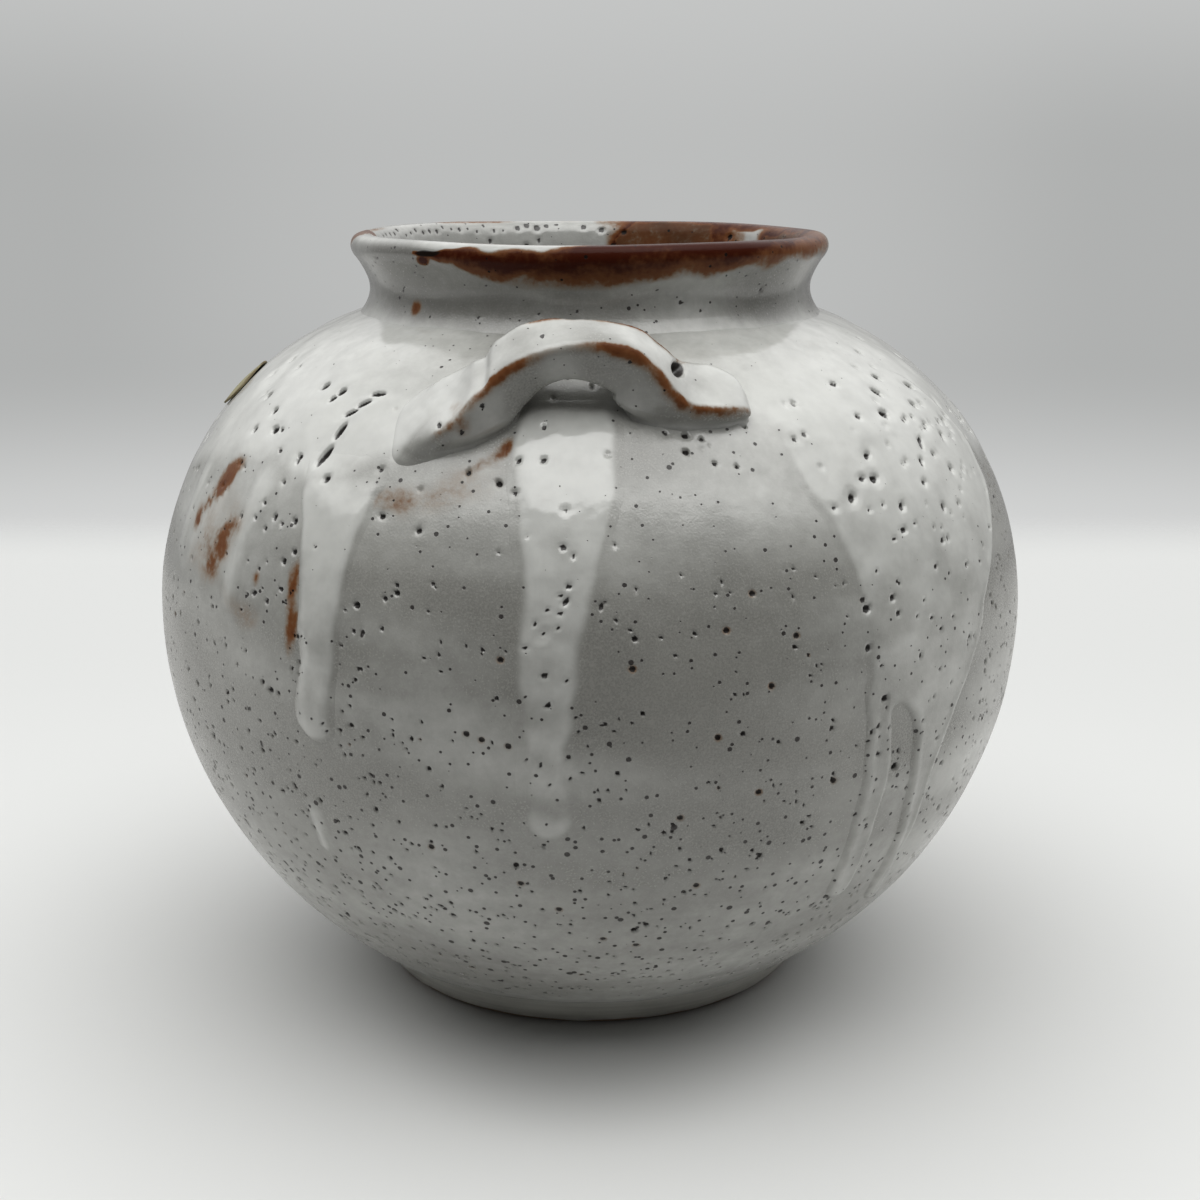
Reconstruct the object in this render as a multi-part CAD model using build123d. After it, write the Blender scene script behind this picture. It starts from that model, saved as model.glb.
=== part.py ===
"""A round stoneware jar, thrown in two bowls joined at the belly, with a collar, a foot and two strap lugs.

The jar stands on z = 0 with its axis on Z. The lug seen from the front faces -Y. Lengths are millimetres.
"""
from build123d import *
import os
from math import asin, cos, degrees, hypot, radians, sin, sqrt

# Thrown body: two bowls that meet at the belly, the jar's widest circle
jar_height = 172.5
belly_radius = 100.0
belly_height = 89.0
wall = 6.0
floor_thickness = 8.0
floor_radius = 56.0
seam_tongue_height = 4.0
slip_gap = 0.15

# Foot ring, luted under the lower bowl and turned to a bevel
foot_height = 7.5
foot_top_radius = 55.5
foot_edge_inset = 7.5
foot_waist_inset = 3.1
foot_waist_height = 3.4
foot_bore_radius = 39.5
foot_boss_depth = 1.5

# Collar: a short flared neck with a rolled lip, set on the shoulder with a spigot inside the opening
collar_height = 17.3
collar_seat_radius = 52.0
collar_ledge = 4.0
spigot_length = 5.0
spigot_thickness = 3.25
neck_waist_inset = 1.9
neck_waist_rise = 3.8
lip_overhang = 2.5
lip_roll = 3.4
lip_root_inset = 1.9
lip_root_drop = 6.9
lip_inner_inset = 6.7
lip_inner_drop = 3.3

# Strap lugs, one on each side of the shoulder: an arch of clay with its two ends pressed flat
lug_turn = -1.8
lug_setback = 19.0
lug_rise = 18.6
strap_thickness = 8.0
strap_depth = 9.5
strap_tilt = 27.0
strap_rounding = 1.8
arch_half_span = 20.5
loop_half_width = 7.4
loop_spring_drop = 2.6
pad_offset = 4.5
pad_setback = 5.0
pad_length = 20.0
pad_width = 16.0
pad_thickness = 3.6

# Blank paper label on the left shoulder
label_azimuth = -90.0
label_setback = 20.0
label_length = 30.0
label_height = 13.0
label_thickness = 0.5

# Thick white glaze that ran down the front, one row for each run: its azimuth from the front, its top
# and tail widths, and how far below the lugs' feet it has its top, the start of its tail and its tip
glaze_depth = 1.2
run_crown = 2.0
run_left = dict(azimuth=-32.8, top_width=24.0, top=3.0, tail_width=9.0, tail=36.0, tip=56.5)
run_centre = dict(azimuth=-4.4, top_width=21.0, top=2.0, tail_width=9.2, tail=38.0, tip=74.0)
sheet_right = dict(azimuth=46.0, top_width=52.0, top=-6.0, tail_width=30.0, tail=30.0, tip=64.0)
sheet_inner_tail = dict(shift=-13.5, width=8.0, tip=94.0)
sheet_outer_tail = dict(shift=4.5, width=7.5, tip=99.0)

# Sizes that follow from the driving ones
collar_seat_height = jar_height - collar_height
collar_hole_radius = collar_seat_radius - collar_ledge
lug_front = belly_radius - lug_setback
foot_joint = (foot_top_radius, foot_height)
collar_seat = (collar_seat_radius, collar_seat_height)
belly = (belly_radius, belly_height)


def section(*edges):
    """Closed face in the jar's radius and height, stood up on the XZ plane."""
    return Plane.XZ * make_face(edges)


def arc_centre(end):
    """Distance from the axis to the centre of the wall arc that leaves the belly upright and meets end."""
    radius, height = end
    square = belly_radius**2 - radius**2 - (height - belly_height) ** 2
    return square / (2 * (belly_radius - radius))


def lifted(end, lift):
    """The end of a wall arc, moved out along its radius by lift."""
    centre = arc_centre(end)
    growth = (belly_radius - centre + lift) / (belly_radius - centre)
    return (centre + (end[0] - centre) * growth, belly_height + (end[1] - belly_height) * growth)


def shoulder_height(radius):
    """Height of the shoulder's outer face at a distance from the axis."""
    centre = arc_centre(collar_seat)
    return belly_height + sqrt((belly_radius - centre) ** 2 - (radius - centre) ** 2)


def shoulder_lean(radius):
    """Angle of the shoulder's normal above level, in degrees, at a distance from the axis."""
    centre = arc_centre(collar_seat)
    return 90 - degrees(asin((radius - centre) / (belly_radius - centre)))


def clay_form(lift=0.0):
    """The filled form of the two bowls, grown outwards by lift."""
    low, high = lifted(foot_joint, lift), lifted(collar_seat, lift)
    widest = (belly_radius + lift, belly_height)
    outline = section(
        Line((0, low[1]), low),
        TangentArc(widest, low, tangent=(0, -1)),
        TangentArc(widest, high, tangent=(0, 1)),
        Line(high, (0, high[1])),
        Line((0, high[1]), (0, low[1])),
    )
    return revolve(outline, Axis.Z)


def skin(thickness):
    """Layer of even thickness over the outside of the two bowls."""
    return clay_form(thickness) - clay_form()


def shoulder_plane(azimuth, radius):
    """Plane on the shoulder, facing outwards, with its x level; azimuth turns from the front towards +X."""
    turn, lean = radians(azimuth), radians(shoulder_lean(radius))
    across = Vector(cos(turn), sin(turn), 0)
    outward = Vector(sin(turn), -cos(turn), 0)
    normal = outward * cos(lean) + Vector(0, 0, 1) * sin(lean)
    return Plane(outward * radius + Vector(0, 0, shoulder_height(radius)), across, normal)


# Lower bowl: floor and wall in one throwing, with a tongue on its rim for the upper bowl
def lower_bowl():
    inner_radius = belly_radius - wall
    tongue_radius = belly_radius - wall / 2
    boss_radius = foot_bore_radius - slip_gap
    floor_top = foot_height + floor_thickness
    boss_bottom = foot_height - foot_boss_depth
    outline = section(
        Polyline((0, floor_top), (0, boss_bottom), (boss_radius, boss_bottom)),
        Polyline((boss_radius, boss_bottom), (boss_radius, foot_height), foot_joint),
        TangentArc(belly, foot_joint, tangent=(0, -1)),
        Polyline(
            belly,
            (tongue_radius - slip_gap, belly_height),
            (tongue_radius - slip_gap, belly_height + seam_tongue_height),
            (inner_radius, belly_height + seam_tongue_height),
            (inner_radius, belly_height),
        ),
        TangentArc((inner_radius, belly_height), (floor_radius, floor_top), tangent=(0, -1)),
        Line((floor_radius, floor_top), (0, floor_top)),
    )
    return revolve(outline, Axis.Z)


# Upper bowl: thrown upside down, set on the lower bowl's tongue, open at the top for the collar
def upper_bowl():
    inner_radius = belly_radius - wall
    tongue_radius = belly_radius - wall / 2
    tongue_top = belly_height + seam_tongue_height
    hole_bottom = collar_seat_height - wall
    outline = section(
        TangentArc(belly, collar_seat, tangent=(0, 1)),
        Polyline(collar_seat, (collar_hole_radius, collar_seat_height), (collar_hole_radius, hole_bottom)),
        TangentArc((inner_radius, tongue_top), (collar_hole_radius, hole_bottom), tangent=(0, 1)),
        Polyline((inner_radius, tongue_top), (tongue_radius, tongue_top), (tongue_radius, belly_height)),
        Line((tongue_radius, belly_height), belly),
    )
    return revolve(outline, Axis.Z)


# Foot ring: a coil thrown on under the lower bowl, with a bevelled outer face and a flat standing face
def foot_ring():
    standing_edge = (foot_top_radius - foot_edge_inset, 0)
    waist = (foot_top_radius - foot_waist_inset, foot_waist_height)
    outline = section(
        Polyline((foot_bore_radius, foot_height), (foot_bore_radius, 0), standing_edge),
        ThreePointArc(standing_edge, waist, foot_joint),
        Line(foot_joint, (foot_bore_radius, foot_height)),
    )
    return revolve(outline, Axis.Z)


# Collar: its spigot drops into the shoulder's hole, its waist flares to a lip rolled outwards
def neck_collar():
    spigot_radius = collar_hole_radius - slip_gap
    spigot_bottom = collar_seat_height - spigot_length
    mouth_radius = spigot_radius - spigot_thickness
    lip_radius = collar_seat_radius + lip_overhang
    waist = (collar_seat_radius - neck_waist_inset, collar_seat_height + neck_waist_rise)
    waist_bore = (mouth_radius, collar_seat_height + neck_waist_rise)
    lip_root = (lip_radius - lip_root_inset, jar_height - lip_root_drop)
    lip_edge = (lip_radius, jar_height - lip_roll)
    crest = (lip_radius - lip_roll, jar_height)
    inner_lip = (lip_radius - lip_inner_inset, jar_height - lip_inner_drop)
    inner_curl = TangentArc(crest, inner_lip, tangent=(-1, 0))
    outline = section(
        Polyline(waist_bore, (mouth_radius, spigot_bottom), (spigot_radius, spigot_bottom)),
        Polyline((spigot_radius, spigot_bottom), (spigot_radius, collar_seat_height), collar_seat),
        Spline(collar_seat, waist, lip_root),
        TangentArc(lip_edge, lip_root, tangent=(0, -1)),
        TangentArc(lip_edge, crest, tangent=(0, 1)),
        inner_curl,
        Spline(inner_lip, waist_bore, tangents=[inner_curl % 1, (0, -1)]),
    )
    return revolve(outline, Axis.Z)


# Strap lug: an arch of clay leaning back over the shoulder, with both ends thumbed out flat beside it
def strap_lug():
    base = shoulder_height(lug_front + strap_depth)
    crown = shoulder_height(lug_front) + lug_rise
    loop_top = crown - strap_thickness
    loop_spring = loop_top - loop_spring_drop
    front_face = Plane.XZ.offset(lug_front) * make_face(
        [
            ThreePointArc((-arch_half_span, base), (0, crown), (arch_half_span, base)),
            Polyline((arch_half_span, base), (loop_half_width, base), (loop_half_width, loop_spring)),
            ThreePointArc((loop_half_width, loop_spring), (0, loop_top), (-loop_half_width, loop_spring)),
            Polyline((-loop_half_width, loop_spring), (-loop_half_width, base), (-arch_half_span, base)),
        ]
    )
    backwards = (0, cos(radians(strap_tilt)), sin(radians(strap_tilt)))
    arch = extrude(front_face, strap_depth, dir=backwards)
    crown_edges = arch.edges().filter_by(GeomType.CIRCLE)
    arch = fillet(crown_edges, strap_rounding)
    pad_reach = lug_front - pad_setback
    pad_turn = degrees(asin((arch_half_span + pad_offset) / pad_reach))
    pads = []
    for turn in (-pad_turn, pad_turn):
        footprint = shoulder_plane(turn, pad_reach) * Ellipse(pad_width / 2, pad_length / 2)
        pads.append(skin(pad_thickness) & extrude(footprint, pad_length, both=True))
    return arch - clay_form() + pads


# Blank label: an oval of paper stuck to the shoulder
def blank_label():
    place = shoulder_plane(label_azimuth, belly_radius - label_setback)
    oval = place * Ellipse(label_length / 2, label_height / 2)
    return skin(label_thickness) & extrude(oval, label_length / 2, both=True)


def drip(top_width, top, tail_width, tail, tip, shift=0.0):
    """Outline of one run of glaze, seen square on: a wide top that draws in to a round-tipped tail."""
    top_half, tail_half = top_width / 2, tail_width / 2
    lug_foot_height = shoulder_height(hypot(lug_front, arch_half_span))
    top, tail, tip = (lug_foot_height - drop for drop in (top, tail, tip))
    draw_in = (top + tail) / 2
    tip_start = tip + tail_half
    outline = [
        ThreePointArc((-top_half, top), (0, top + run_crown), (top_half, top)),
        Bezier((top_half, top), (tail_half, draw_in), (tail_half, tail)),
        Line((tail_half, tail), (tail_half, tip_start)),
        ThreePointArc((tail_half, tip_start), (0, tip), (-tail_half, tip_start)),
        Line((-tail_half, tip_start), (-tail_half, tail)),
        Bezier((-tail_half, tail), (-tail_half, draw_in), (-top_half, top)),
    ]
    return Pos(shift, 0) * make_face(outline)


# Glaze runs: thick white glaze lying on the clay inside an outline drawn square on at its azimuth
def glaze_run(azimuth, tails=(), **shape):
    outline = drip(**shape)
    for tail in tails:
        width, start = tail["width"], shape["tail"]
        outline += drip(width, start, width, (start + tail["tip"]) / 2, tail["tip"], tail["shift"])
    facing = Rot(0, 0, azimuth) * Plane.XZ.location
    column = extrude(facing * outline, belly_radius + glaze_depth)
    return skin(glaze_depth) & column


lug = strap_lug()
pieces = {
    "foot_ring": foot_ring(),
    "lower_bowl": lower_bowl(),
    "upper_bowl": upper_bowl(),
    "neck_collar": neck_collar(),
    "front_lug": Rot(0, 0, lug_turn) * lug,
    "rear_lug": Rot(0, 0, lug_turn + 180) * lug,
    "blank_label": blank_label(),
    "glaze_run_left": glaze_run(**run_left),
    "glaze_run_centre": glaze_run(**run_centre),
    "glaze_sheet_right": glaze_run(**sheet_right, tails=[sheet_inner_tail, sheet_outer_tail]),
}

os.makedirs("parts", exist_ok=True)
for node, solid in pieces.items():
    export_step(solid, f"parts/{node}.step")
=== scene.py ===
import math

import bmesh
import bpy
import numpy as np
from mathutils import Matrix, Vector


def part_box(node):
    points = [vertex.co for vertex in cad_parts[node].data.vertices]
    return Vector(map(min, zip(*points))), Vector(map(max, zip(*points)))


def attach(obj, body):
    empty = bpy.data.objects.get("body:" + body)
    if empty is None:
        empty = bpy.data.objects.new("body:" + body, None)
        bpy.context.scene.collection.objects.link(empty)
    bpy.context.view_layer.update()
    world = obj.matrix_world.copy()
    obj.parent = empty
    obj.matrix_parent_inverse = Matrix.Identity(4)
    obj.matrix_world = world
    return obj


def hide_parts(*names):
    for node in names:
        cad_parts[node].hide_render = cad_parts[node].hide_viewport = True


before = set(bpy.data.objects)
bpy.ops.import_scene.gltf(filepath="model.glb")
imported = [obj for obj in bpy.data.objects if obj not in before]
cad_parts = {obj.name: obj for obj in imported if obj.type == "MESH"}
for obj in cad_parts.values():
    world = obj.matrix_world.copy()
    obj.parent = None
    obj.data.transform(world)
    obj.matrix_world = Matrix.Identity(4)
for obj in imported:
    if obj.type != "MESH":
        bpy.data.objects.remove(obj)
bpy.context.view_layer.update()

# Lower bowl
# The lower half of the jar: a stoneware bowl thrown with its floor and turned thin towards the foot.
# Its iron-bearing white glaze lies thin and grey here, full of pinholes where gas broke through it.
mm = 0.001
belly_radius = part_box("upper_bowl")[1].x / mm
belly_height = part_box("upper_bowl")[0].z / mm
seat_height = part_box("upper_bowl")[1].z / mm
foot_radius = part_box("foot_ring")[1].x / mm
foot_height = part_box("foot_ring")[1].z / mm
boss_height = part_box("lower_bowl")[0].z / mm
seat_radius = 52.0
boss_radius = 39.3
floor_radius = 56.0
floor_height = 15.5
clay_wall = 6.0
glaze_room = 0.75
columns = 400
row_step = 1.55


def smooth(start, end, value):
    """0 before start, 1 past end, and an even S between them; start may be the larger."""
    share = np.clip((value - start) / (end - start), 0, 1)
    return share * share * (3 - 2 * share)


def hump(value, middle, half):
    """A soft bump of 1 at the middle that fades over about its half width."""
    return np.exp(-(((value - middle) / half) ** 2))


def wrap(angle):
    """An angle brought between minus and plus half a turn."""
    return (angle + math.pi) % (2 * math.pi) - math.pi


def bend(radius, height):
    """Radius of the wall's arc that leaves the belly upright and ends at that radius and height."""
    run, rise = belly_radius - radius, height - belly_height
    return (run**2 + rise**2) / (2 * run)


lower_bend = bend(foot_radius, foot_height)
upper_bend = bend(seat_radius, seat_height)


def along_wall(height):
    """Distance along the wall from the belly to a height, upwards positive."""
    rise = np.asarray(height, float) - belly_height
    arc = np.where(rise < 0, lower_bend, upper_bend)
    return arc * np.arcsin(rise / arc)


def wall(along):
    """Radius, height and lean of the bare wall, which the glaze's relief brings out to the frame's wall."""
    arc = np.where(along < 0, lower_bend, upper_bend)
    lean = along / arc
    radius = belly_radius - arc * (1 - np.cos(lean)) - glaze_room * np.cos(lean)
    height = belly_height + (arc - glaze_room) * np.sin(lean)
    return radius, height, lean


def place(azimuth, along, lift):
    """Points lifted off the bare wall, in millimetres; the azimuth turns from the front towards +X."""
    radius, height, lean = wall(along)
    radius = radius + lift * np.cos(lean)
    return np.stack(
        [radius * np.sin(azimuth), -radius * np.cos(azimuth), height + lift * np.sin(lean)], -1
    )


def ripple(points, size, seed, waves=28):
    """Smooth random unevenness about zero, with swells of about that size, the same on every piece."""
    draw = np.random.default_rng(seed)
    turns = draw.normal(size=(3, waves)) * 2 / size
    phase = draw.uniform(0, 2 * math.pi, waves)
    return np.cos(points @ turns + phase).sum(-1) * math.sqrt(2 / waves)


# Tears and blisters that show: azimuth in degrees, height, half length, half width, turn from level
tears = [
    (-48.6, 143.8, 1.3, 1.0, 60), (-43.7, 143.4, 1.3, 1.0, 60), (-44.3, 142.0, 1.2, 0.8, 60),
    (-38.6, 140.2, 2.0, 0.7, 40), (-37.3, 142.0, 2.0, 0.8, 40), (-35.9, 143.9, 2.1, 0.7, 15),
    (-38.5, 136.9, 2.5, 0.9, 78), (-38.9, 132.2, 3.2, 1.0, 75), (-52.4, 135.0, 1.4, 1.0, 0),
    (-50.6, 135.2, 0.8, 0.6, 0), (-56.0, 138.0, 1.0, 0.9, 60), (-57.5, 134.0, 0.9, 0.8, 70),
    (-62.0, 140.0, 1.2, 0.9, 50), (-43.4, 131.4, 0.8, 0.7, 0), (-36.4, 128.2, 0.9, 0.9, 0),
    (49.9, 138.4, 1.8, 1.1, 0), (65.1, 141.6, 1.8, 0.9, -30), (52.8, 142.2, 1.8, 0.8, -50),
    (53.7, 131.9, 1.6, 0.8, 70), (51.3, 129.0, 0.8, 0.7, 0), (40.6, 131.8, 1.1, 0.8, 40),
    (39.9, 127.7, 1.2, 1.0, 0), (37.8, 128.0, 0.9, 0.7, 0), (35.0, 125.0, 1.2, 0.9, 60),
    (42.8, 121.9, 1.1, 0.8, 60), (51.4, 119.9, 1.1, 0.8, 70), (41.7, 117.6, 1.0, 0.7, 0),
    (43.4, 138.6, 1.0, 0.7, 0), (44.0, 144.7, 1.2, 0.7, 0), (49.4, 125.2, 0.9, 0.7, 0),
    (60.0, 138.5, 1.3, 0.9, -40), (57.0, 144.5, 1.3, 0.8, -30), (61.5, 132.0, 1.2, 0.8, 60),
    (66.0, 134.0, 1.3, 0.9, 60), (70.0, 137.0, 1.3, 0.9, 50), (58.0, 126.0, 1.0, 0.9, 80),
    (-2.4, 112.4, 0.6, 0.6, 0), (-2.7, 109.6, 1.1, 0.6, 60), (-4.9, 96.0, 0.8, 0.6, 0),
    (-4.5, 90.2, 0.7, 0.7, 0), (1.2, 108.8, 1.1, 0.5, 80), (33.5, 104.5, 1.1, 1.0, 0),
    (37.5, 105.6, 0.9, 0.8, 50), (33.3, 96.8, 1.0, 0.8, 70), (39.2, 69.8, 1.1, 1.0, 0),
    (7.0, 141.3, 0.8, 0.7, 0), (13.4, 138.2, 0.8, 0.8, 0), (12.0, 139.6, 0.6, 0.5, 0),
    (15.6, 137.4, 0.6, 0.5, 0), (10.6, 138.6, 0.5, 0.4, 0), (13.0, 135.4, 0.8, 0.7, 0),
    (16.6, 133.2, 0.6, 0.5, 0), (19.6, 132.4, 0.5, 0.5, 0), (-43.2, 120.0, 0.9, 0.7, 60),
    (-39.4, 120.0, 0.8, 0.8, 0), (-41.5, 119.1, 0.6, 0.5, 0), (-46.0, 122.0, 0.6, 0.5, 0),
    (-44.3, 117.5, 0.6, 0.5, 60), (-46.7, 119.0, 0.6, 0.5, 0), (-50.0, 118.5, 0.7, 0.6, 50),
    (-44.1, 126.4, 0.5, 0.5, 0), (-39.4, 112.3, 0.8, 0.8, 0), (-38.0, 114.4, 0.8, 0.7, 0),
    (-41.1, 104.1, 0.8, 0.6, 60), (-39.0, 107.0, 0.7, 0.6, 0), (-43.7, 105.0, 0.9, 0.7, 30),
    (-27.5, 106.5, 0.9, 0.8, 0), (-22.5, 109.6, 0.7, 0.7, 0), (-22.6, 111.0, 0.5, 0.5, 0),
    (-23.9, 108.3, 0.6, 0.6, 0), (-26.3, 123.1, 0.8, 0.7, 0), (-20.9, 121.1, 0.8, 0.6, 50),
]
# Round iron spots, red brown and larger than the pinholes: azimuth and height
iron_spots = [
    (-9.8, 98.6), (4.6, 97.2), (15.2, 103.6), (18.6, 110.0), (23.6, 101.4), (20.4, 92.2), (-13.7, 83.6),
    (-12.0, 82.6), (-9.0, 81.6), (14.2, 82.8), (10.4, 66.0), (19.6, 70.2), (-4.0, 44.0), (1.8, 35.4),
    (-8.6, 50.4), (6.6, 33.0), (29.6, 70.0), (33.0, 106.4), (-19.4, 57.6), (13.4, 49.2),
]


def pit_density(azimuth, height):
    """Pits to the square centimetre: dense low on the body and on the right shoulder, few on the coat."""
    levels = [13, 18, 32, 50, 80, 105, 125, 140, 153]
    share = np.interp(height, levels, [0, 3.8, 3.6, 3.0, 2.2, 1.8, 1.0, 0.6, 0])
    right_shoulder = hump(azimuth, 58, 20) * hump(height, 130, 18)
    left_coat = hump(azimuth, -42, 15) * hump(height, 138, 11)
    return (share + 2.2 * right_shoulder) * (1 - 0.8 * left_coat)


lowest_pit, highest_pit = 14, 152


def scattered_pits(seed, tries):
    """Pits at random over the wall, some in pairs: rows like the tears', with iron and open shares."""
    draw = np.random.default_rng(seed)
    azimuth = draw.uniform(-180, 180, tries)
    height = draw.uniform(lowest_pit, highest_pit, tries)
    radius, _, lean = wall(along_wall(height))
    slant = 1 / np.maximum(np.cos(lean), 0.3)
    area = 2 * math.pi * radius * slant * (highest_pit - lowest_pit) / 100
    kept = draw.uniform(size=tries) < pit_density(azimuth, height) * area / tries
    azimuth, height = azimuth[kept], height[kept]
    half = 0.33 + draw.exponential(0.09, len(height)) + 0.18 * smooth(118, 132, height)
    pairs = draw.uniform(size=len(height)) < 0.22
    paired = pairs.sum()
    beside = draw.choice([-1, 1], paired) * draw.uniform(0.9, 1.8, paired)
    azimuth = np.append(azimuth, azimuth[pairs] + beside)
    height = np.append(height, height[pairs] + draw.uniform(-1.5, 1.5, paired))
    half = np.minimum(np.append(half, half[pairs] * 0.8), 0.95)
    long = half * draw.uniform(1.0, 1.35, len(half))
    iron = draw.uniform(size=len(half)) < 0.08
    open_pit = np.maximum(draw.uniform(0.1, 1.3, len(half)), smooth(130, 112, height))
    turned_by = draw.uniform(-90, 90, len(half))
    return np.stack([azimuth, height, long, half, turned_by, iron * 0.8, np.minimum(open_pit, 1)], -1)


iron_half_length, iron_half_width = 0.78, 0.72
pits = np.concatenate(
    [
        [row + (0, 1) for row in tears],
        [(azimuth, height, iron_half_length, iron_half_width, 0, 1, 1) for azimuth, height in iron_spots],
        scattered_pits(seed=11, tries=60000),
    ]
)
pits[:, 0] = np.radians(pits[:, 0])
pits[:, 1] = along_wall(pits[:, 1])
pits[:, 4] = np.radians(pits[:, 4])


def dents(azimuth, along):
    """Depth of the pits at points of the wall, how dark they are there and how rusty."""
    depth, dark, rust = np.zeros((3, len(along)))
    for turn, middle, long, short, slant, iron, open_pit in pits:
        near = np.flatnonzero(np.abs(along - middle) < 2.6 * long)
        across = wrap(azimuth[near] - turn) * wall(middle)[0]
        up = along[near] - middle
        u = (across * math.cos(slant) + up * math.sin(slant)) / long
        v = (up * math.cos(slant) - across * math.sin(slant)) / short
        away = np.hypot(u, v)
        hole = smooth(1.05, 0.4, away) * (1.4 - 0.8 * iron) * open_pit
        dented = smooth(19, 41, middle) * (1 - iron)
        dimple = smooth(2.5, 0.8, away) * (0.05 + 0.23 * dented)
        raised_edge = hump(away, 1.3, 0.28) * 0.08 * dented
        depth[near] = np.maximum(depth[near], short * (hole + dimple - raised_edge))
        dark[near] = np.maximum(dark[near], smooth(1.1, 0.5, away) * open_pit)
        rust[near] = np.maximum(rust[near], smooth(1.6, 0.9, away) * (0.05 + 0.20 * iron))
    return depth, dark, rust


# Lower border of the thick coat: azimuth and height
coat_border = [
    (-180, 118), (-150, 109), (-120, 121), (-100, 116), (-82, 119), (-71, 124), (-63, 127), (-55, 128),
    (-48, 128), (-42, 123), (-27, 130), (-22, 140), (-12, 143), (12, 143), (22, 141), (27, 137),
    (34, 133), (66, 131), (74, 125), (100, 118), (130, 110), (160, 122), (180, 118),
]


def coat(azimuth, along):
    """Share of the thick white coat that was poured over the shoulder, from its uneven lower border up."""
    degrees = np.degrees(azimuth)
    points = place(azimuth, along, 0)
    turns, heights = np.array(coat_border, float).T
    lower_border = np.interp(degrees, turns, heights) + 1.4 * ripple(points, 16, 3)
    behind_lug = hump(degrees, -4, 21) * smooth(136, 144, points[:, 2])
    near_neck = 1 - 0.26 * smooth(139, 150, points[:, 2])
    return smooth(-4.5, 4.5, points[:, 2] - lower_border) * (1 - 0.95 * behind_lug) * near_neck


# Small runs off the coat: azimuth, height where they leave it, tip height, half width, thickness
small_runs = [
    (-65.5, 126, 106, 3.2, 0.30), (-56.4, 128, 110, 3.6, 0.34), (-48.2, 128, 99.5, 4.5, 0.36),
    (-35.8, 62, 51, 1.9, 0.20), (-91, 118, 88, 4.8, 0.38), (-116, 122, 76, 6.2, 0.42),
    (-139, 112, 92, 3.8, 0.34), (-163, 116, 64, 6.6, 0.42), (175, 120, 97, 4.6, 0.36),
    (152, 122, 68, 6.0, 0.42), (129, 112, 90, 3.8, 0.32), (105, 120, 80, 5.6, 0.40),
    (84, 125, 100, 3.8, 0.30),
]


def rounded(inside, edge, softness):
    """Share of a run's height by the distance inside its border: a round edge, or one that starts flat."""
    share = np.clip(inside / edge, 0, 1)
    return (1 - softness) * np.sqrt(1 - (1 - share) ** 2) + softness * share * share * (3 - 2 * share)


# Brown stains where the glaze ran off the iron-rich clay: azimuth, height, half sizes, turn, strength
stains = [
    (-11.6, 135.2, 3.6, 1.3, 36, 0.62), (-14.0, 133.2, 4.8, 1.4, 34, 0.29),
    (-25.0, 125.6, 5.4, 1.7, 8, 0.27), (-19.4, 127.4, 4.6, 1.2, 14, 0.22),
    (-57.6, 123.2, 2.6, 5.4, -40, 0.52), (-60.0, 118.4, 1.6, 4.4, -38, 0.46),
    (-61.4, 114.6, 2.8, 2.8, 0, 0.66), (-52.0, 111.8, 4.6, 4.6, 0, 0.58),
    (-54.2, 108.2, 5.6, 3.8, -20, 0.43), (-56.0, 105.8, 6.0, 4.0, 0, 0.23),
    (-37.2, 107.4, 1.8, 4.8, 0, 0.60), (-36.6, 100.2, 1.6, 6.2, 0, 0.46),
    (-43.6, 107.7, 1.1, 1.8, 0, 0.40), (-45.0, 100.4, 5.0, 3.2, 0, 0.19),
    (-88, 112, 2.2, 6.0, -20, 0.50), (112, 112, 2.4, 6.5, 20, 0.52), (-128, 105, 2.0, 6.5, -14, 0.50),
    (162, 108, 2.8, 5.0, 15, 0.46), (-90, 104, 3.6, 3.0, 0, 0.22), (114, 103, 4.2, 3.0, 0, 0.22),
    (-18.0, 128.4, 11.0, 5.0, 14, 0.17), (-56.0, 114.0, 9.0, 12.0, -30, 0.17),
]
# Burst bubbles that healed to shallow rings: azimuth, height, radius of the ring, its height
craters = [
    (-29.5, 130.4, 4.2, 0.05), (29.2, 137.0, 3.2, 0.05), (-132, 132, 3.6, 0.06), (118, 128, 4.0, 0.06),
]
# Where the thin glaze lies whiter or greyer, some of it painted light: azimuth, its half width, height, its
# half width, amount. The greyer patches on the far left and the right flank are painted shade where the sides
# turn from the light, and the whiter one by the right sheet's upper left border is a painted sheen.
tone_and_light_patches = [
    (-55, 17, 112, 17, 0.48), (12, 13, 88, 22, -0.17), (-61, 16, 84, 22, -0.28), (80, 16, 92, 30, -0.14),
    (23, 12, 128, 13, 0.46),
]


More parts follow.
